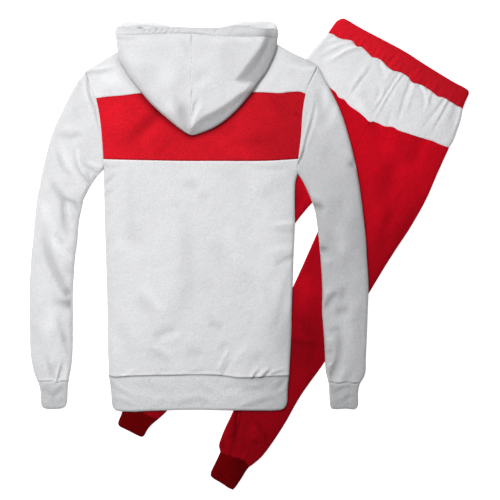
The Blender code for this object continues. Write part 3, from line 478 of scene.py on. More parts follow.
def creased(X, Y, table, scale=1.0):
    Z = np.zeros(X.shape)
    for path, width, height, kind in table:
        line = curve(path, 5)
        reach = (3.2 * width + 2) / MM
        low, high = line.min(0) - reach, line.max(0) + reach
        if kind in "sS":
            low, high = low - 12, high + 12
        pick = (X > low[0]) & (X < high[0]) & (Y > low[1]) & (Y < high[1])
        if not pick.any():
            continue
        d, side, p = measure(X[pick], Y[pick], line)
        start = np.ones(p.shape) if kind.isupper() else smooth(p / 0.35)
        taper = start * smooth((1 - p) / (0.6 if kind.isupper() else 0.35))
        s = side * d / width
        if kind in "rR":
            shape = np.exp(-s * s)
        elif kind in "fF":
            shape = s * np.exp(0.5 * (1 - s * s)) * np.exp(-((s / 2.6) ** 4))
        else:
            shape = smooth((s + 0.6) / 1.9) * (1 - smooth((d - 26) / 20))
        Z[pick] += scale * height * shape * taper
    return Z


def uneven(X, Y, seed, size, height):
    """Soft unevenness: a few crossed waves of about that size (mm) and height (mm)."""
    rng = np.random.default_rng(seed)
    Z = np.zeros(X.shape)
    for _ in range(9):
        angle, phase = rng.uniform(0, 2 * math.pi, 2)
        wave = size * rng.uniform(0.6, 1.5) / MM
        bend = 0.35 * wave * np.sin((X * math.sin(angle) - Y * math.cos(angle)) / wave * 2.1 + phase * 3)
        Z += np.sin(2 * math.pi * (X * math.cos(angle) + Y * math.sin(angle) + bend) / wave + phase)
    return Z * height / 3.0


LEG_LINES = [
    np.vstack([curve(LEG_L_OUT), curve(ANKLE_L_OUT), curve(ANKLE_L_IN)[::-1], curve(LEG_L_IN)[::-1], curve(YOKE_L)[::-1][:1]]),
    np.vstack([curve(LEG_R_OUT), curve(ANKLE_R_OUT), curve(ANKLE_R_IN)[::-1], curve(LEG_R_IN)[::-1]]),
    np.vstack([curve(YOKE_L), curve(YOKE_SEAM_L), curve(YOKE_SEAM_R), curve(YOKE_R)[::-1], curve(BAND_EDGE)[::-1], curve(BAND_L)]),
]
TOP_LINE = np.vstack([
    curve(SHOULDERS, 3), curve(SLEEVE_R_OUT, 3), curve(CUFF_R_OUT, 3), curve(CUFF_R_END, 3), curve(CUFF_R_IN, 3)[::-1],
    curve(SLEEVE_R_IN, 3)[::-1], curve(SIDE_R, 3), curve(HEM_R, 3), curve(HEM_BOTTOM, 3)[::-1], curve(HEM_L, 3)[::-1],
    curve(SIDE_L, 3)[::-1], curve(SLEEVE_L_IN, 3), curve(CUFF_L_IN, 3), curve(CUFF_L_END, 3)[::-1], curve(CUFF_L_OUT, 3)[::-1],
    curve(SLEEVE_L_OUT, 3)[::-1],
])


HOOD_LINE = np.vstack([curve(HOOD_L, 3), curve(HOOD_R, 3)[::-1]])


def ground(X, Y):
    """Height of the top's underside: on the floor or over the trousers."""
    away = np.full(X.shape, 1e9)
    for line in LEG_LINES:
        closed = np.vstack([line, line[:1]])
        d = measure(X, Y, closed)[0]
        away = np.minimum(away, np.where(inside(X, Y, line), 0.0, d))
    t = np.clip((away - 4.0) / 140.0, 0, 1)
    return OVER_LEGS * (1 - t * t * t * (t * (6 * t - 15) + 10))


def clear_of_top(X, Y):
    """0 under the top, 1 well away from it."""
    d = measure(X, Y, np.vstack([TOP_LINE, TOP_LINE[:1]]))[0]
    return np.where(inside(X, Y, TOP_LINE), 0.0, smooth((d - 3) / 50.0))


# ---- grids and meshes ---------------------------------------------------------------------
def spread(length, step, fine=(True, True)):
    """Shares of a length, closer together near its ends."""
    halves = []
    for close in fine:
        marks = [0.0]
        while marks[-1] < length / 2:
            marks.append(marks[-1] + (min(step, 0.7 + 0.28 * marks[-1]) if close else step))
        halves.append(np.array(marks) / marks[-1] * 0.5)
    return np.concatenate([halves[0], 1 - halves[1][::-1][1:]])


def patch(top, bottom, left, right, step=STEP, fine_across=(True, True), fine_along=(True, True)):
    """A plan grid between four edges: rows run from top to bottom, columns from left to right."""
    top, bottom, left, right = (curve(edge) for edge in (top, bottom, left, right))
    U = spread(MM * max(length_of(top), length_of(bottom)), step, fine_across)
    S = spread(MM * max(length_of(left), length_of(right)), step, fine_along)
    T, B, L, R = at(top, U), at(bottom, U), at(left, S), at(right, S)
    u, s = U[None, :, None], S[:, None, None]
    P = (1 - u) * L[:, None] + u * R[:, None] + (1 - s) * T[None] + s * B[None]
    P -= (1 - s) * ((1 - u) * T[0] + u * T[-1]) + s * ((1 - u) * B[0] + u * B[-1])
    return P[..., 0], P[..., 1]


def along_rows(X, Y):
    d = np.hypot(np.diff(X, axis=1), np.diff(Y, axis=1)) * MM
    return np.concatenate([np.zeros((X.shape[0], 1)), np.cumsum(d, axis=1)], axis=1)


def along_columns(X, Y):
    return along_rows(X.T, Y.T).T


def world(X, Y, Z):
    return np.stack([(X - CENTRE[0]) * UNIT, (CENTRE[1] - Y) * UNIT, Z / 1000.0], axis=-1)


# Painted shade for each piece's cloth colour, listed by piece name.
PAINTED_SHADE = {}


def painted_fold_shade(X, Y, e, creases, over=True):
    """Painted shade for the cloth's colour: lighter on its ridges, darker in its troughs and by its edges, and, on the
    top, darker to the right, where the light falls off."""
    painted_shade_grid = 1 + np.clip(0.05 * creases, -0.32, 0.07) - 0.05 * np.exp(-e / 14.0)
    painted_shade_grid = painted_shade_grid - (0.14 if over else 0.05) * np.exp(-e / 4.5)
    return painted_shade_grid * (1 - 0.24 * smooth((X - 226) / 110.0) * smooth((Y - 62) / 110.0)) if over else painted_shade_grid


def wall(name, outer, inner, wrap, uv, material, painted_shade_grid=None, inner_painted_shade=None):
    """A closed shell between two grids of points, as part of which the last column may join the
    first. uv is in metres of cloth."""
    rows, columns = outer.shape[:2]
    half = rows * columns
    number = np.arange(half).reshape(rows, columns)
    if wrap:
        number = np.concatenate([number, number[:, :1]], axis=1)
    a, b, c, d = number[:-1, :-1], number[:-1, 1:], number[1:, 1:], number[1:, :-1]
    quads = [np.stack([a, b, c, d], -1).reshape(-1, 4), half + np.stack([a, d, c, b], -1).reshape(-1, 4)]
    ends = [(number[0, 1:], number[0, :-1]), (number[-1, :-1], number[-1, 1:])]
    if not wrap:
        ends += [(number[:-1, 0], number[1:, 0]), (number[1:, -1], number[:-1, -1])]
    for p, q in ends:
        quads.append(np.stack([p, q, half + q, half + p], -1).reshape(-1, 4))
    quads = np.concatenate(quads)
    points = np.concatenate([outer.reshape(-1, 3), inner.reshape(-1, 3)])
    p = points[quads]
    volume = (np.einsum("ij,ij->i", p[:, 0], np.cross(p[:, 1], p[:, 2])) + np.einsum("ij,ij->i", p[:, 0], np.cross(p[:, 2], p[:, 3]))).sum()
    if volume < 0:
        quads = quads[:, ::-1]
    mesh = bpy.data.meshes.new(name)
    mesh.vertices.add(len(points))
    mesh.vertices.foreach_set("co", points.astype(np.float32).ravel())
    mesh.loops.add(quads.size)
    mesh.loops.foreach_set("vertex_index", quads.astype(np.int32).ravel())
    mesh.polygons.add(len(quads))
    mesh.polygons.foreach_set("loop_start", np.arange(0, quads.size, 4, dtype=np.int32))
    mesh.polygons.foreach_set("loop_total", np.full(len(quads), 4, np.int32))
    mesh.polygons.foreach_set("use_smooth", np.ones(len(quads), bool))
    mesh.update(calc_edges=True)
    layer = mesh.uv_layers.new(name="UVMap")
    both = np.concatenate([uv.reshape(-1, 2), uv.reshape(-1, 2)])
    layer.data.foreach_set("uv", both[quads.ravel()].astype(np.float32).ravel())
    # The painted shade of both grids goes into a point attribute that the cloth materials multiply into their colour.
    shade = mesh.attributes.new("painted_fold_shade", "FLOAT", "POINT")
    painted_shading = [np.ones(half) if part is None else part.ravel() for part in (painted_shade_grid, inner_painted_shade)]
    shade.data.foreach_set("value", np.concatenate(painted_shading).astype(np.float32))
    mesh.validate()
    mesh.set_sharp_from_angle(angle=math.radians(50))
    mesh.materials.append(material)
    made = bpy.data.objects.new(name, mesh)
    bpy.context.scene.collection.objects.link(made)
    return made


def cloth_uv(X, Y):
    return np.stack([along_rows(X, Y), along_columns(X, Y)], axis=-1) / 1000.0


def plan_area(X, Y):
    P = np.stack([X, Y], -1) * UNIT
    one, two = P[1:, 1:] - P[:-1, :-1], P[1:, :-1] - P[:-1, 1:]
    return float(abs(one[..., 0] * two[..., 1] - one[..., 1] * two[..., 0]).sum() / 2)


PIECES = {}


def declare(made, node, flat, area, rests_on):
    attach(made, "root")
    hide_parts(node)
    PIECES[node] = (made, flat, area, rests_on)
    return made


def panel(node, X, Y, top, low, material, rests_on, fullness=1.0):
    """A single layer whose upper side is at top; its lower side is a cloth's thickness below,
    or on what it lies on."""
    under = np.maximum(top - CLOTH, low)
    under = np.minimum(under, top - 0.35)
    made = wall(node, world(X, Y, top), world(X, Y, under), False, cloth_uv(X, Y), material, PAINTED_SHADE.get(node))
    width, length = along_rows(X, Y)[:, -1].max() / 1000, along_columns(X, Y)[-1].max() / 1000
    area = plan_area(X, Y) * fullness
    return declare(made, node, (width * fullness, length), min(area, width * length * fullness), rests_on)


def tube(node, X, Y, top, low, material, rests_on, below=None, fullness=1.0, thick=CLOTH):
    """A flattened tube, open at its first and last row: an upper and a lower layer that meet in
    folds along the first and last column."""
    XB, YB = (X, Y) if below is None else below
    edge = (top[:, [0, -1]] + low[:, [0, -1]]) / 2
    top, low = top.copy(), low.copy()
    top[:, [0, -1]] = low[:, [0, -1]] = edge
    middle = (top + low) / 2
    in_top = middle + np.maximum(top - thick - middle, 0.12)
    in_low = middle - np.maximum(middle - low - thick, 0.12)
    across = along_rows(X, Y)
    full = across[:, -1:]
    v = across / full
    move = thick / full * ((1 - v) ** 6 - v ** 6)

    def tucked(A):
        return A + move * (A[:, -1:] - A[:, :1])

    outer = np.concatenate([world(X, Y, top), world(XB, YB, low)[:, -2:0:-1]], axis=1)
    inner = np.concatenate([world(tucked(X), tucked(Y), in_top), world(tucked(XB), tucked(YB), in_low)[:, -2:0:-1]], axis=1)
    uv = cloth_uv(X, Y)
    back = uv[:, -2:0:-1].copy()
    back[..., 0] = 2 * full / 1000 - back[..., 0]
    lower = np.ones(back.shape[:2])
    # Painted shade on the outside of the upper layer, and on the inside of the lower layer where one is listed under
    # the piece's name with _low.
    painted_shade_grid = np.concatenate([PAINTED_SHADE.get(node, np.ones(X.shape)), lower], axis=1)
    inside_painted_shade = np.concatenate([np.ones(X.shape), PAINTED_SHADE[node + "_low"][:, -2:0:-1] if node + "_low" in PAINTED_SHADE else lower], axis=1)
    made = wall(node, outer, inner, True, np.concatenate([uv, back], axis=1), material, painted_shade_grid, inside_painted_shade)
    width, length = 2 * full.max() / 1000, along_columns(X, Y)[-1].max() / 1000
    area = (plan_area(X, Y) + plan_area(XB, YB)) * fullness
    return declare(made, node, (width * fullness, length), min(area, width * length * fullness), rests_on)


def folded_half(node, X, Y, top, low, material, rests_on):
    """Half of the hood: an upper layer that turns under along the first column and comes back
    below it, open along the last column and at both rows' ends."""
    edge = (top[:, :1] + low[:, :1]) / 2
    top, low = np.concatenate([edge, top[:, 1:]], axis=1), np.concatenate([edge, low[:, 1:]], axis=1)
    middle = (top + low) / 2
    in_top = middle + np.maximum(top - CLOTH - middle, 0.12)
    in_low = middle - np.maximum(middle - low - CLOTH, 0.12)
    across = along_rows(X, Y)
    full = np.maximum(across[:, -1:], 1e-6)
    move = np.minimum(CLOTH / full, 0.3) * (1 - across / full) ** 8

    def tucked(A):
        return A + move * (A[:, -1:] - A[:, :1])

    outer = np.concatenate([world(X, Y, top)[:, ::-1], world(X, Y, low)[:, 1:]], axis=1)
    inner = np.concatenate([world(tucked(X), tucked(Y), in_top)[:, ::-1], world(tucked(X), tucked(Y), in_low)[:, 1:]], axis=1)
    uv = cloth_uv(X, Y)
    upper = uv[:, ::-1].copy()
    upper[..., 0] *= -1
    # Painted shade on the upper layer only.
    painted_shade_grid = np.concatenate([PAINTED_SHADE[node][:, ::-1], np.ones(X[:, 1:].shape)], axis=1)
    made = wall(node, outer, inner, False, np.concatenate([upper, uv[:, 1:]], axis=1), material, painted_shade_grid)
    width, length = 2 * full.max() / 1000, along_columns(X, Y)[-1].max() / 1000
    return declare(made, node, (width, length), min(2 * plan_area(X, Y), width * length), rests_on)


# ---- materials ----------------------------------------------------------------------------
def cloth_material(name, colour, rib=0.0, shade=0.05, nap=1.0, sheen=0.15, roughness=0.92, specular=0.12, painted_shading=None):
    """Knitted cloth: soft unevenness of colour, painted shade read from its mesh and, where asked, painted shade
    falling off along Y, fine nap or ribs, and a sheen.
    """
    made = bpy.data.materials.new(name)
    made.use_nodes = True
    tree = made.node_tree
    tree.nodes.clear()
    new, link = tree.nodes.new, tree.links.new
    out, shader = new("ShaderNodeOutputMaterial"), new("ShaderNodeBsdfPrincipled")
    link(shader.outputs["BSDF"], out.inputs["Surface"])
    place, cloth = new("ShaderNodeTexCoord"), new("ShaderNodeUVMap")
    cloth.uv_map = "UVMap"

    def noise(scale, detail, source, rough=0.55):
        node = new("ShaderNodeTexNoise")
        node.inputs["Scale"].default_value = scale
        node.inputs["Detail"].default_value = detail
        node.inputs["Roughness"].default_value = rough
        link(source, node.inputs["Vector"])
        return node.outputs["Fac"]

    def maths(kind, a, b):
        node = new("ShaderNodeMath")
        node.operation = kind
        for socket, value in zip(node.inputs, (a, b)):
            if isinstance(value, (int, float)):
                socket.default_value = value
            else:
                link(value, socket)
        return node.outputs[0]

    here = place.outputs["Object"]
    cloudy = maths("SUBTRACT", noise(24.0, 3.0, here), 0.5)
    patchy = maths("SUBTRACT", noise(150.0, 4.0, here, 0.65), 0.5)
    fleck = maths("SUBTRACT", noise(400.0, 3.0, here, 0.8), 0.5)
    change = maths("ADD", maths("MULTIPLY", cloudy, shade * 1.6), maths("MULTIPLY", patchy, shade * 2.4))
    change = maths("ADD", change, maths("MULTIPLY", fleck, shade * 13.0))
    # Painted shade: the colour is multiplied by the shade painted on the mesh's points.
    folds = new("ShaderNodeAttribute")
    folds.attribute_name = "painted_fold_shade"
    strength = maths("MULTIPLY", maths("ADD", change, 1.0), folds.outputs["Fac"])
    # Painted shade: the colour lighter towards high Y and darker towards low Y, where the light falls off.
    if painted_shading:
        away = new("ShaderNodeMapRange")
        away.interpolation_type = "SMOOTHSTEP"
        for socket, value in zip(away.inputs[1:5], painted_shading):
            socket.default_value = value
        here_y = new("ShaderNodeSeparateXYZ")
        link(here, here_y.inputs[0])
        link(here_y.outputs["Y"], away.inputs[0])
        strength = maths("MULTIPLY", strength, away.outputs[0])
    tint = new("ShaderNodeMix")
    tint.data_type, tint.blend_type = "RGBA", "MULTIPLY"
    tint.inputs["Factor"].default_value = 1.0
    tint.inputs["A"].default_value = (*colour, 1)
    grey = new("ShaderNodeCombineColor")
    for socket in grey.inputs[:3]:
        link(strength, socket)
    link(grey.outputs["Color"], tint.inputs["B"])
    link(tint.outputs["Result"], shader.inputs["Base Color"])

    split = new("ShaderNodeSeparateXYZ")
    link(cloth.outputs["UV"], split.inputs[0])
    wales = maths("SINE", maths("MULTIPLY", split.outputs["X"], 2 * math.pi / 0.0011), 0.0)
    courses = maths("SINE", maths("MULTIPLY", split.outputs["Y"], 2 * math.pi / 0.0009), 0.0)
    height = maths("MULTIPLY", maths("ADD", wales, maths("MULTIPLY", courses, 0.6)), 0.00003 if not rib else 0.00002)
    height = maths("ADD", height, maths("MULTIPLY", noise(1400.0, 3.0, here, 0.7), 0.00034 * nap))
    height = maths("ADD", height, maths("MULTIPLY", noise(220.0, 3.0, here, 0.6), 0.0011 * nap))
    height = maths("ADD", height, maths("MULTIPLY", noise(60.0, 2.0, here, 0.5), 0.0018 * nap))
    bump = new("ShaderNodeBump")
    bump.inputs["Strength"].default_value = 0.8
    bump.inputs["Distance"].default_value = 1.0
    link(height, bump.inputs["Height"])
    link(bump.outputs["Normal"], shader.inputs["Normal"])
    shader.inputs["Roughness"].default_value = roughness
    shader.inputs["Specular IOR Level"].default_value = specular
    shader.inputs["Sheen Weight"].default_value = sheen
    shader.inputs["Sheen Roughness"].default_value = 0.55
    shader.inputs["Sheen Tint"].default_value = (*colour, 1)
    made.diffuse_color = (*colour, 1)
    return made


WHITE = cloth_material("white_fleece_cloth", (0.83, 0.83, 0.845), shade=0.04)
YOKE_WHITE = cloth_material("white_yoke_cloth", (0.93, 0.93, 0.945), shade=0.035)
# The rib cloths are coloured darker than the fleece beside them: painted shade for the shade between their ribs.
WHITE_RIB = cloth_material("white_rib_cloth", (0.77, 0.775, 0.79), rib=1.0, shade=0.05)
CUFF_RIB = cloth_material("white_cuff_cloth", (0.74, 0.745, 0.76), rib=1.0, shade=0.05)
RED = cloth_material("red_fleece_cloth", (0.70, 0.010, 0.022), shade=0.10, specular=0.05)
# The trouser legs' red carries painted shade: darker towards the ankles, where the light falls off.
LEG_RED = cloth_material("red_leg_cloth", (0.52, 0.003, 0.012), shade=0.08, specular=0.04, painted_shading=(-0.14, 0.22, 0.65, 1.24))
# The ankle rib is coloured darker too: painted shade for the shade between its ribs.
DARK_RIB = cloth_material("dark_red_rib_cloth", (0.155, 0.0005, 0.0016), rib=1.0, shade=0.10, specular=0.03)


# ---- heights ------------------------------------------------------------------------------
def seam(d, depth=1.2, lip=0.45):
    return -depth * np.exp(-((d / 1.3) ** 2)) + 0.6 * lip * np.exp(-(((d - 3.0) / 2.2) ** 2))


def ribs(X, Y, X0=None, period=3.6, height=0.32):
    """Ribs that run from row to row, the same number on every row."""
    across = along_rows(X, Y)
    count = round(across[:, -1].mean() / period)
    return height * np.cos(2 * math.pi * count * across / across[:, -1:])


def row_ends(X, Y):
    d = along_columns(X, Y)
    return d, d[-1:] - d


def column_ends(X, Y):
    d = along_rows(X, Y)
    return d, d[:, -1:] - d


def top_edge(X, Y):
    return measure(X, Y, np.vstack([TOP_LINE, TOP_LINE[:1]]))[0]


def body_height(X, Y, e, g):
    near_hem = 0.3 + 0.7 * smooth((374 - Y) / 34.0)
    z = 0.8 + (TOP_FLAT - 0.8) * roll(e, 8.0) + 2.4 * smooth(e / 70.0) * near_hem
    return g + z + uneven(X, Y, 11, 120, 0.55) * smooth(e / 30.0) + uneven(X, Y, 12, 46, 0.22) * smooth(e / 16.0)


def make_front():
    X, Y = patch(FRONT_NECK, HEM_SEAM, ARMHOLE_L[:-1] + SIDE_L, ARMHOLE_R[:-1] + SIDE_R, HIDDEN_STEP, (False, False), (False, False))
    left, right = column_ends(X, Y)
    start, end = row_ends(X, Y)
    middle = X.mean(axis=1, keepdims=True)
    X = X + np.sign(middle - X) * 2.6 / MM * np.exp(-np.minimum(left, right) / 12)
    Y = Y + 1.4 * np.exp(-start / 12) - 0.2 * np.exp(-end / 12)
    low = ground(X, Y)
    panel("hoodie_front", X, Y, low + CLOTH, low, WHITE, [])


def make_back():
    for node, top, bottom, left, right, creases, material, slot in (
        ("hoodie_yoke", SHOULDERS, BAND_TOP, ARMHOLE_L[:BAND_TOP_AT + 1], ARMHOLE_R[:BAND_TOP_AT + 1], YOKE_CREASES, WHITE, "white_fleece"),
        ("hoodie_band", BAND_TOP, BAND_BOTTOM, ARMHOLE_L[BAND_TOP_AT:BAND_BOTTOM_AT + 1], ARMHOLE_R[BAND_TOP_AT:BAND_BOTTOM_AT + 1],
         BAND_CREASES, RED, "red_fleece"),
        ("hoodie_back", BAND_BOTTOM, HEM_SEAM, ARMHOLE_L[BAND_BOTTOM_AT:-1] + SIDE_L, ARMHOLE_R[BAND_BOTTOM_AT:-1] + SIDE_R,
         BACK_CREASES, WHITE, "white_fleece"),
    ):
        X, Y = patch(top, bottom, left, right)
        e, g = top_edge(X, Y), ground(X, Y)
        folds = creased(X, Y, creases, 1.3)
        z = body_height(X, Y, e, g) + folds
        PAINTED_SHADE[node] = painted_fold_shade(X, Y, e, folds * (2.0 if node == "hoodie_band" else 1.0))
        if node != "hoodie_back":
            # The band and yoke sink along the hood's edge, and carry a painted shadow of it.
            by_hood = np.exp(-((measure(X, Y, HOOD_LINE)[0] / 8.0) ** 2))
            z -= 2.6 * by_hood
            PAINTED_SHADE[node] *= 1 - (0.6 if node == "hoodie_band" else 0.2) * by_hood
        first, last = row_ends(X, Y)
        if node != "hoodie_yoke":
            z += seam(first, 0.9, 0.25 if node == "hoodie_band" else 0.5)
        z += seam(last, 2.2 if node == "hoodie_back" else 0.9, 1.6 if node == "hoodie_back" else 0.4)
        # Painted light and shade: the yoke lighter overall; the back lighter at its upper right, with a painted shadow
        # along the hem seam and a painted highlight on its lip below the band; the band lighter at its left, darker to
        # the right, and shaded along both its seams.
        if node == "hoodie_yoke":
            PAINTED_SHADE[node] *= 1.06
        elif node == "hoodie_back":
            PAINTED_SHADE[node] *= 1 + 0.13 * smooth((X - 236) / 34.0) * (1 - smooth((Y - 286) / 54.0))
            PAINTED_SHADE[node] *= 1 - 0.38 * np.exp(-((last / 2.0) ** 2)) + 0.14 * np.exp(-(((first - 1.6) / 1.4) ** 2))
        elif node == "hoodie_band":
            PAINTED_SHADE[node] *= 1 - 0.45 * np.exp(-((last / 2.2) ** 2)) - 0.35 * np.exp(-((first / 1.8) ** 2))
            PAINTED_SHADE[node] *= 1.12 - 0.15 * smooth((X - 98) / 80.0) - 0.08 * smooth((X - 240) / 50.0)
        near_left, near_right = column_ends(X, Y)
        beside = np.minimum(near_left, near_right)
        z += np.where(Y < 172, seam(beside, 0.9, 0.3), 0.0)
        low = g + np.where(e > 6.0, CLOTH + 0.3, 0.1)
        z = np.maximum(z, low + 0.8)
        panel(node, X, Y, z, low, material, ["cloth_hoodie_front"])


def make_hem():
    X, Y = patch(HEM_SEAM, HEM_BOTTOM, HEM_L, HEM_R, STEP, (False, False))
    count = round(along_rows(X, Y)[:, -1].mean() / 3.6)
    U = np.linspace(0, 1, count * 4 + 1)
    X, Y = regrid(X, U), regrid(Y, U)
    e, g = top_edge(X, Y), ground(X, Y)
    first, last = row_ends(X, Y)
    fade = smooth(np.minimum(e, first) / 4.0)
    z = g + 0.8 + 5.4 * roll(e, 6.0) + 0.8 * smooth(e / 30.0) + (ribs(X, Y) + uneven(X, Y, 21, 60, 0.35)) * fade
    folds = creased(X, Y, HEM_CREASES) * fade
    ends = np.minimum(*column_ends(X, Y))
    # Painted shade: the hem band darker along its seam, at its ends, to the right, and by the seam around x 256.
    PAINTED_SHADE["hem_band"] = painted_fold_shade(X, Y, e, folds) * (1 - 0.34 * np.exp(-((first / 2.8) ** 2))) * (1 - 0.10 * np.exp(-ends / 16.0))
    PAINTED_SHADE["hem_band"] *= 1 - 0.12 * smooth((X - 222) / 44.0)
    PAINTED_SHADE["hem_band"] *= 1 - 0.22 * np.exp(-(((X - 256) / 16.0) ** 2) - (first / 11.0) ** 2)
    z += folds - 2.4 * np.exp(-((first / 2.4) ** 2)) - 0.5 * np.exp(-(((last - 9) / 1.4) ** 2)) * fade
    tube("hem_band", X, Y, np.maximum(z, g + 0.9), g, WHITE_RIB, [])


def regrid(A, U):
    """The same rows with columns at the shares U of the old column numbers."""
    old = np.linspace(0, 1, A.shape[1])
    return np.stack([np.interp(U, old, row) for row in A])


def sleeve_height(X, Y, armhole, cuff, e, g):
    away = measure(X, Y, curve(armhole, 3))[0]
    near_cuff = measure(X, Y, curve(cuff, 3))[0]
    puff = smooth((away - 4) / 70.0) * (0.25 + 0.75 * smooth(near_cuff / 46.0))
    z = body_height(X, Y, e, g) - 1.2 * smooth(e / 60.0) * smooth(away / 60.0)
    return z + puff * 4.6 * roll(e, 34.0) + uneven(X, Y, 31, 60, 0.7) * smooth(e / 20.0) * smooth(away / 50.0)


def make_sleeves():
    for side, top, bottom, left, right, armhole, cuff, creases in (
        ("left", ARMHOLE_L, CUFF_L_SEAM, SLEEVE_L_OUT, SLEEVE_L_IN, ARMHOLE_L, CUFF_L_SEAM, SLEEVE_L_CREASES),
        ("right", ARMHOLE_R[::-1], CUFF_R_SEAM[::-1], SLEEVE_R_IN, SLEEVE_R_OUT, ARMHOLE_R, CUFF_R_SEAM, SLEEVE_R_CREASES),
    ):
        X, Y = patch(top, bottom, left, right)
        e, g = top_edge(X, Y), ground(X, Y)
        first, last = row_ends(X, Y)
        folds = creased(X, Y, creases, 1.35) * smooth(e / 5.0)
        z = sleeve_height(X, Y, armhole, cuff, e, g) + folds
        PAINTED_SHADE["sleeve_" + side] = painted_fold_shade(X, Y, e, folds)
        # Painted light and shade on the right sleeve: lighter at its upper outer side, darker around y 245.
        if side == "right":
            PAINTED_SHADE["sleeve_right"] *= 1.04 + 0.10 * smooth((X - 318) / 34.0) * smooth((200 - Y) / 90.0)
            PAINTED_SHADE["sleeve_right"] *= 1 - 0.09 * np.exp(-(((Y - 245) / 48.0) ** 2))
        z += seam(first, 0.9, 0.3) + seam(last, 1.8, 1.2) * smooth(e / 3.0)
        tube("sleeve_" + side, X, Y, np.maximum(z, g + 0.9), g, WHITE, [])
    for side, top, bottom, left, right in (
        ("left", CUFF_L_SEAM, CUFF_L_END, CUFF_L_OUT, CUFF_L_IN),
        ("right", CUFF_R_SEAM[::-1], CUFF_R_END[::-1], CUFF_R_IN, CUFF_R_OUT),
    ):
        X, Y = patch(top, bottom, left, right, 2.6, (False, False))
        count = round(along_rows(X, Y)[:, -1].mean() / 3.2)
        U = np.linspace(0, 1, count * 5 + 1)
        X, Y = regrid(X, U), regrid(Y, U)
        e, g = top_edge(X, Y), ground(X, Y)
        first, last = row_ends(X, Y)
        fade = smooth(np.minimum(e, first) / 4.0)
        z = g + 0.8 + 5.0 * roll(e, 5.5) + 1.6 * smooth(e / 24.0) + ribs(X, Y, period=3.2, height=0.3) * fade
        folds = creased(X, Y, CUFF_CREASES) * fade
        # Painted shade of the cuff's folds and edges, the left cuff darker overall.
        PAINTED_SHADE["cuff_" + side] = painted_fold_shade(X, Y, e + 7.0, folds) * (0.88 if side == "left" else 1.0)
        z += folds - 2.0 * np.exp(-((first / 2.2) ** 2)) * smooth(e / 3.0)
        z += uneven(X, Y, 41, 30, 0.4) * fade
        tube("cuff_" + side, X, Y, np.maximum(z, g + 0.9), g, CUFF_RIB, [])


# ---- hood ---------------------------------------------------------------------------------
HOOD_RIDGE = ((265.0, 20.0), (265.0, 33.0), (263.6, 40.0), (259.0, 49.0), (253.0, 57.0), (246.4, 66.0), (240.3, 74.0), (234.0, 81.6))
LOWER_RIDGE = ((234.0, 81.6), (241.0, 85.0), (249.4, 86.8), (245.4, 90.6), (236.6, 96.0), (227.0, 103.4), (215.6, 110.6), (205.0, 115.6),
               (196.8, 122.0), (192.0, 128.4), (189.6, 134.0))
RIDGE = np.vstack([curve(HOOD_RIDGE, 4), curve(LOWER_RIDGE, 4)[1:]])
FLANK = np.vstack([RIDGE, [(192.0, 139.0), (216.0, 136.0), (262.0, 96.0), (284.0, 58.0), (284.0, 20.0)]])


def hood_floor(X, Y):
    return ground(X, Y) + HOOD_BASE * (0.35 + 0.65 * smooth((Y - 22) / 28.0))


def hood_height(X, Y, floor):
    left = measure(X, Y, np.vstack([[(115.2, 20.0)], curve(HOOD_L, 4)]))[0]
    right = measure(X, Y, np.vstack([[(278.0, 20.0)], curve(HOOD_R, 4)]))[0]
    ridge = measure(X, Y, RIDGE)[0]
    width = right + ridge + 1e-6
    share = np.where(inside(X, Y, FLANK), 1 - 0.32 * smooth((ridge + 4) / 18.0) - (0.34 + 0.20 * smooth((84 - Y) / 24.0)) * ridge / width, 1 - 0.32 * smooth((4 - ridge) / 18.0))
    on_right = share * roll(right, 4.5)
    on_left = 0.62 * roll(left, 5.0) + 0.18 * smooth(left / 22.0) + 0.20 * smooth(left / 70.0)
    near_tip = smooth((136 - Y) / 26.0)
    tall = 12.6 + 5.0 * smooth((Y - 30) / 16.0) * (0.35 + 0.65 * near_tip)
    z = floor + 1.2 + (tall - 1.2) * on_left * on_right
    return z + uneven(X, Y, 51, 80, 0.7) * smooth(left / 20) * smooth(right / 20)


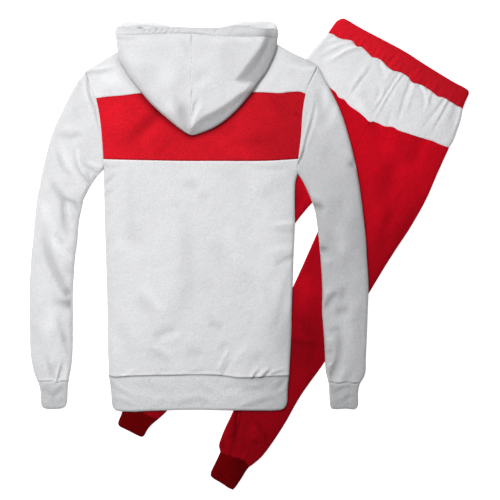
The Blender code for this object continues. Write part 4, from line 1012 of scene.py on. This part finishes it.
def make_hood():
    casing_l, casing_r = CASING_SEAM_L, CASING_SEAM_R
    for node, top, bottom, left, right, flip in (
        ("hood_left", casing_l, (HOOD_L[-1], HOOD_SEAM[-1]), HOOD_L, HOOD_SEAM, False),
        ("hood_right", casing_r, (HOOD_SEAM[-1], HOOD_R[-1]), HOOD_SEAM, HOOD_R, True),
    ):
        X, Y = patch(top, bottom, left, right, 2.7)
        if flip:
            X, Y = X[:, ::-1], Y[:, ::-1]
        floor = hood_floor(X, Y)
        z = hood_height(X, Y, floor)
        first, _ = row_ends(X, Y)
        outer, inner = column_ends(X, Y)
        folds = creased(X, Y, HOOD_CREASES, 1.3) * smooth(outer / 6.0) * smooth(first / 6.0)
        z += folds
        ridge = measure(X, Y, RIDGE)[0]
        # Painted shade on the hood: on the right flank beyond its ridge, in a hollow by the tip, and along the left
        # edge.
        notch = np.exp(-(((X - 252) / 11.0) ** 2) - (((Y - 86) / 7.0) ** 2))
        flank_painted_shade = np.where(inside(X, Y, FLANK), smooth((ridge + 1) / (5.0 + 12.0 * notch)) * (0.25 + 0.15 * smooth(ridge / 14.0)), 0.0)
        hollow_painted_shade = 0.18 * np.exp(-(((X - 182) / 6.5) ** 2) - (((Y - 111) / 9.0) ** 2))
        rim_painted_shade = 0.20 * np.exp(-((measure(X, Y, curve(HOOD_L, 4))[0] / 12.0) ** 2)) * smooth((Y - 40) / 30.0)
        PAINTED_SHADE[node] = painted_fold_shade(np.minimum(X, 250), Y, outer, folds) * (1 - flank_painted_shade) * (1 - rim_painted_shade) * (1 - hollow_painted_shade)
        z += (0.5 * np.exp(-((inner / 3.0) ** 2)) - 0.9 * np.exp(-((inner / 0.9) ** 2))) * smooth(outer / 8.0)
        z -= 1.9 * np.exp(-((first / 1.8) ** 2)) * smooth(outer / 4.0)
        z = np.maximum(z, floor + 1.2)
        folded_half(node, X, Y, z, floor, WHITE, ["cloth_hoodie_yoke", "cloth_hoodie_band"])

    seam_all = np.vstack([curve(casing_l), curve(casing_r)[1:]])
    near, far = curve(NEAR_EDGE), curve(FAR_EDGE)
    U = spread(MM * length_of(seam_all), 2.2)
    S = spread(15.0, 1.2)
    ends = smooth(np.minimum(U, 1 - U) / 0.02)[None, :]
    T, B, F = at(near, U), at(seam_all, U), at(far, U)
    X, Y = (T[:, k] + (B[:, k] - T[:, k]) * S[:, None] for k in (0, 1))
    XB, YB = (F[:, k] + (B[:, k] - F[:, k]) * S[:, None] for k in (0, 1))
    bulge = 0.6 * np.sin(np.pi * S)[:, None] * np.exp(-np.minimum(U, 1 - U)[None, :] / 0.01)
    X = X + np.where(U < 0.5, -1, 1)[None, :] * bulge
    XB = XB + np.where(U < 0.5, -1, 1)[None, :] * bulge
    floor = hood_floor(X, Y)
    first, last = row_ends(X, Y)
    z = hood_height(X, Y, floor)
    z += 1.2 * np.sin(np.pi * np.clip(first / (first + last), 0, 1)) ** 0.7 - 2.2 * (1 - roll(first, 4.0)) + seam(last, 1.6, 0.3)
    folds = creased(X, Y, CASING_CREASES, 1.9) * ends
    z += folds
    # Painted shade: the casing darker at its right end and on its lower right.
    PAINTED_SHADE["hood_casing"] = painted_fold_shade(X, Y, np.minimum(first, 30.0), folds) * (1 - 0.26 * smooth((X - 252) / 16.0))
    PAINTED_SHADE["hood_casing"] *= 1 - 0.22 * smooth((X - 212) / 34.0) * smooth((Y - 30) / 6.0)
    z = np.maximum(z, floor + 1.6)
    below = hood_floor(XB, YB)
    firstb, _ = row_ends(XB, YB)
    hump = smooth(np.abs(YB[:1] - Y[:1]) / 3.0)
    low = below + 3.4 * hump * (1 - smooth(firstb / 15.0)) - 1.2 * (1 - roll(firstb, 3.0)) * hump
    inner_hem = creased(XB, YB, CASING_INSIDE)
    low += inner_hem
    # Painted shadow in the casing's opening, and painted light lifting the inside of its far layer, most on the inner
    # hem's ridges.
    slit_painted_shadow = np.exp(-(((XB - 139.5) / 3.2) ** 2) - (((YB - 27.5) / 0.7) ** 2))
    PAINTED_SHADE["hood_casing_low"] = (1.16 + 0.06 * inner_hem) * (1 - 0.8 * slit_painted_shadow)
    tube("hood_casing", X, Y, z, low, WHITE, [], below=(XB, YB))


# ---- trousers -----------------------------------------------------------------------------
LEGS_LINE = np.vstack([
    curve(BAND_EDGE, 3), curve(BAND_R, 3), curve(YOKE_R, 3), curve(LEG_R_OUT, 3), curve(ANKLE_R_OUT, 3), curve(ANKLE_R_END, 3)[::-1],
    curve(ANKLE_R_IN, 3)[::-1], curve(LEG_R_IN[3:], 3)[::-1], [CROTCH], curve(LEG_L_IN[3:], 3), curve(ANKLE_L_IN, 3),
    curve(ANKLE_L_END, 3)[::-1], curve(ANKLE_L_OUT, 3)[::-1],
    curve(LEG_L_OUT, 3)[::-1], curve(YOKE_L, 3)[::-1], curve(BAND_L, 3)[::-1],
])


def leg_edge(X, Y):
    return measure(X, Y, np.vstack([LEGS_LINE, LEGS_LINE[:1]]))[0]


def leg_height(X, Y, e, clear):
    z = 0.8 + (LEG_FLAT - 0.8) * roll(e, 7.0) + clear * (4.6 * smooth(e / 60.0) + 1.4 * roll(e, 12.0))
    z += uneven(X, Y, 61, 110, 0.7) * smooth(e / 30.0) * (0.1 + 0.9 * clear)
    return z + uneven(X, Y, 62, 44, 0.35) * smooth(e / 18.0) * (0.1 + 0.9 * clear)


def under_top(z, clear):
    """Held down where the top lies on it."""
    return np.minimum(z, OVER_LEGS - 0.7 + 60.0 * clear)


def make_trousers():
    for side, front, back in (
        ("left", (WAIST_SEAM, YOKE_L[:-1] + LEG_L_OUT, (((395.2, 70.8), (382.0, 96.0)) + LEG_L_IN)), (YOKE_SEAM_L, LEG_L_OUT, LEG_L_IN)),
        ("right", (WAIST_SEAM, YOKE_R[:-1] + LEG_R_OUT, (((395.2, 70.8), (382.0, 96.0)) + LEG_R_IN)), (YOKE_SEAM_R, LEG_R_OUT, LEG_R_IN)),
    ):
        left = side == "left"
        seam_line = ANKLE_L_SEAM if left else ANKLE_R_SEAM
        half = tuple(p for p in WAIST_SEAM if (p[0] < 396) == left)
        if left:
            top, a, b = half + ((395.2, 70.8),), front[1], front[2]
            bottom = seam_line
        else:
            top, a, b = ((395.2, 70.8),) + half[1:], front[2], front[1]
            bottom = seam_line
        X, Y = patch(top, bottom, a, b, HIDDEN_STEP, (False, False), (False, False))
        near_a, near_b = column_ends(X, Y)
        full = near_a + near_b
        inward = (X[:, -1:] - X[:, :1]) / full * 2.6, (Y[:, -1:] - Y[:, :1]) / full * 2.6
        apart = 0.06 + 0.94 * smooth((Y - 138) / 26.0)
        push = np.exp(-near_a / 10) * (1.0 if left else apart) - np.exp(-near_b / 10) * (apart if left else 1.0)
        X, Y = X + push * inward[0], Y + push * inward[1]
        low = np.zeros(X.shape)
        panel("pants_front_" + side, X, Y, low + CLOTH, low, LEG_RED, [])

        top, outer, inner = back
        a, b = (outer, inner) if left else (inner, outer)
        X, Y = patch(top, seam_line, a, b)
        e, clear = leg_edge(X, Y), clear_of_top(X, Y)
        first, last = row_ends(X, Y)
        folds = creased(X, Y, BACK_LEG_L_CREASES if left else BACK_LEG_R_CREASES, 1.3) * smooth(e / 5.0)
        z = leg_height(X, Y, e, clear) + folds
        PAINTED_SHADE["pants_back_" + side] = painted_fold_shade(X, Y, e, 2.2 * folds, False)
        # Painted shade and light: the legs darker by the ankle seam, with lighter and darker patches near where the top
        # lies on them.
        PAINTED_SHADE["pants_back_" + side] *= 1 - 0.10 * smooth((Y - 402) / 14.0)
        for x, y, wide, amount in ((306, 292, 22.0, 0.34), (300, 348, 24.0, -0.18), (304, 202, 16.0, -0.12), (402, 148, 24.0, 0.12)):
            PAINTED_SHADE["pants_back_" + side] *= 1 + amount * np.exp(-(((X - x) / wide) ** 2) - (((Y - y) / wide) ** 2))
        z += seam(first, 1.0, 0.4) + (seam(last, 1.8, 1.3) + 1.2 * np.exp(-(((last - 7) / 6.0) ** 2))) * smooth(e / 3.0)
        near_a, near_b = column_ends(X, Y)
        joined = (near_b if left else near_a)
        z += np.where(Y < 173, seam(joined, 1.0, 0.4), 0.0)
        z = under_top(np.maximum(z, 0.8), clear)
        low = np.where(e > 6.0, CLOTH + 0.3, 0.1)
        panel("pants_back_" + side, X, Y, z, low, LEG_RED, ["cloth_pants_front_" + side])

    X, Y = patch(WAIST_SEAM, YOKE_SEAM_L + YOKE_SEAM_R[1:], YOKE_L, YOKE_R, 2.6)
    e, clear = leg_edge(X, Y), clear_of_top(X, Y)
    first, last = row_ends(X, Y)
    z = leg_height(X, Y, e, clear) + clear * 1.2 * smooth(e / 8.0)
    folds = creased(X, Y, YOKE_FOLDS, 1.3) * smooth(e / 5.0) * (0.25 + 0.75 * clear)
    PAINTED_SHADE["pants_yoke"] = painted_fold_shade(X, Y, e, 0.7 * folds, False)
    z += folds + seam(first, 2.0, 0.5) + seam(last, 1.0, 0.5)
    z = under_top(np.maximum(z, np.where(e > 6.0, CLOTH + 1.0, 0.8)), clear)
    panel("pants_yoke", X, Y, z, np.where(e > 6.0, CLOTH + 0.3, 0.1), YOKE_WHITE, ["cloth_pants_front_left", "cloth_pants_front_right"])

    X, Y = patch(BAND_EDGE, WAIST_SEAM, BAND_L, BAND_R, 2.4)
    e = leg_edge(X, Y)
    first, last = row_ends(X, Y)
    z = 0.8 + 7.6 * roll(e, 6.5) + 1.4 * smooth(e / 16.0) * smooth(last / 10.0) 
    folds = creased(X, Y, WAIST_CREASES) * smooth(e / 5.0)
    z += folds
    # Painted shade: the waistband lighter at its left end and darker towards its right, where the light falls off.
    PAINTED_SHADE["waistband"] = painted_fold_shade(X, Y, e, 1.5 * folds, False) * (1.19 - 0.33 * smooth((X - 335) / 135.0))
    z += uneven(X, Y, 71, 70, 0.35) * smooth(e / 10.0) - 1.6 * (1 - roll(last, 6.0)) * smooth(e / 4.0)
    tube("waistband", X, Y, np.maximum(z, 0.9), np.zeros(X.shape), RED, [])

    for side, top, bottom, left, right in (
        ("left", ANKLE_L_SEAM, ANKLE_L_END, ANKLE_L_OUT, ANKLE_L_IN),
        ("right", ANKLE_R_SEAM, ANKLE_R_END, ANKLE_R_IN, ANKLE_R_OUT),
    ):
        X, Y = patch(top, bottom, left, right, 2.6, (False, False))
        count = round(along_rows(X, Y)[:, -1].mean() / 3.2)
        U = np.linspace(0, 1, count * 5 + 1)
        X, Y = regrid(X, U), regrid(Y, U)
        e = leg_edge(X, Y)
        first, last = row_ends(X, Y)
        fade = smooth(np.minimum(e, first) / 4.0)
        z = 0.8 + 5.0 * roll(e, 5.5) + 1.6 * smooth(e / 24.0) + ribs(X, Y, period=3.2, height=0.3) * fade
        z += seam(first, 1.5, 0.2) * smooth(e / 3.0)
        # Painted shade: the ankle cuffs darker towards their right-hand ends, the right leg's the most.
        PAINTED_SHADE["ankle_cuff_" + side] = 1 - (0.26 if side == "right" else 0.08) * smooth((X - (225 if side == "right" else 120)) / 14.0)
        tube("ankle_cuff_" + side, X, Y, np.maximum(z, 0.9), np.zeros(X.shape), DARK_RIB, [])


make_front()
make_back()
make_hem()
make_sleeves()
make_hood()
make_trousers()
for node, (made, flat, area, rests_on) in PIECES.items():
    made.name = "cloth_" + node
    made.data.name = "cloth_" + node


# ---- floor, light and camera --------------------------------------------------------------
def floor_material():
    made = bpy.data.materials.new("pale_floor")
    made.use_nodes = True
    shader = made.node_tree.nodes["Principled BSDF"]
    shader.inputs["Base Color"].default_value = (0.86, 0.86, 0.86, 1)
    shader.inputs["Roughness"].default_value = 0.9
    shader.inputs["Specular IOR Level"].default_value = 0.1
    shader.inputs["Emission Color"].default_value = (1, 1, 1, 1)
    shader.inputs["Emission Strength"].default_value = 0.7
    return made


floor_mesh = bpy.data.meshes.new("floor")
floor_mesh.from_pydata([(-6, -6, -0.0006), (6, -6, -0.0006), (6, 6, -0.0006), (-6, 6, -0.0006)], [], [(0, 1, 2, 3)])
floor_mesh.materials.append(floor_material())
floor = bpy.data.objects.new("floor", floor_mesh)
bpy.context.scene.collection.objects.link(floor)


def area_light(name, place, aim, size, power):
    data = bpy.data.lights.new(name, "AREA")
    data.shape, data.size, data.size_y, data.energy = "ELLIPSE", size[0], size[1], power
    made = bpy.data.objects.new(name, data)
    made.location = place
    made.rotation_mode = "QUATERNION"
    made.rotation_quaternion = (Vector(aim) - Vector(place)).to_track_quat("-Z", "Y")
    made.visible_camera = False
    bpy.context.scene.collection.objects.link(made)
    return made


key = area_light("key_light", (-1.15, 1.8, 2.88), (-0.1, 0.0, 0.0), (1.1, 1.1), 65.0)
side = area_light("side_light", (-0.62, 0.1, 1.15), (-0.45, 0.05, 0.0), (0.4, 1.5), 5.0)
world_data = bpy.data.worlds.new("studio")
bpy.context.scene.world = world_data
world_data.use_nodes = True
world_data.node_tree.nodes["Background"].inputs[0].default_value = (0.97, 0.985, 1.0, 1)
world_data.node_tree.nodes["Background"].inputs[1].default_value = 0.23

camera_data = bpy.data.cameras.new("camera")
camera_data.lens, camera_data.sensor_width = 100.0, 36.0
camera_data.clip_start, camera_data.clip_end = 0.05, 50.0
camera = bpy.data.objects.new("camera", camera_data)
camera.location = (0.002, 0.0092, 2.788)
bpy.context.scene.collection.objects.link(camera)
bpy.context.scene.camera = camera
bpy.context.scene.view_settings.view_transform = "Standard"
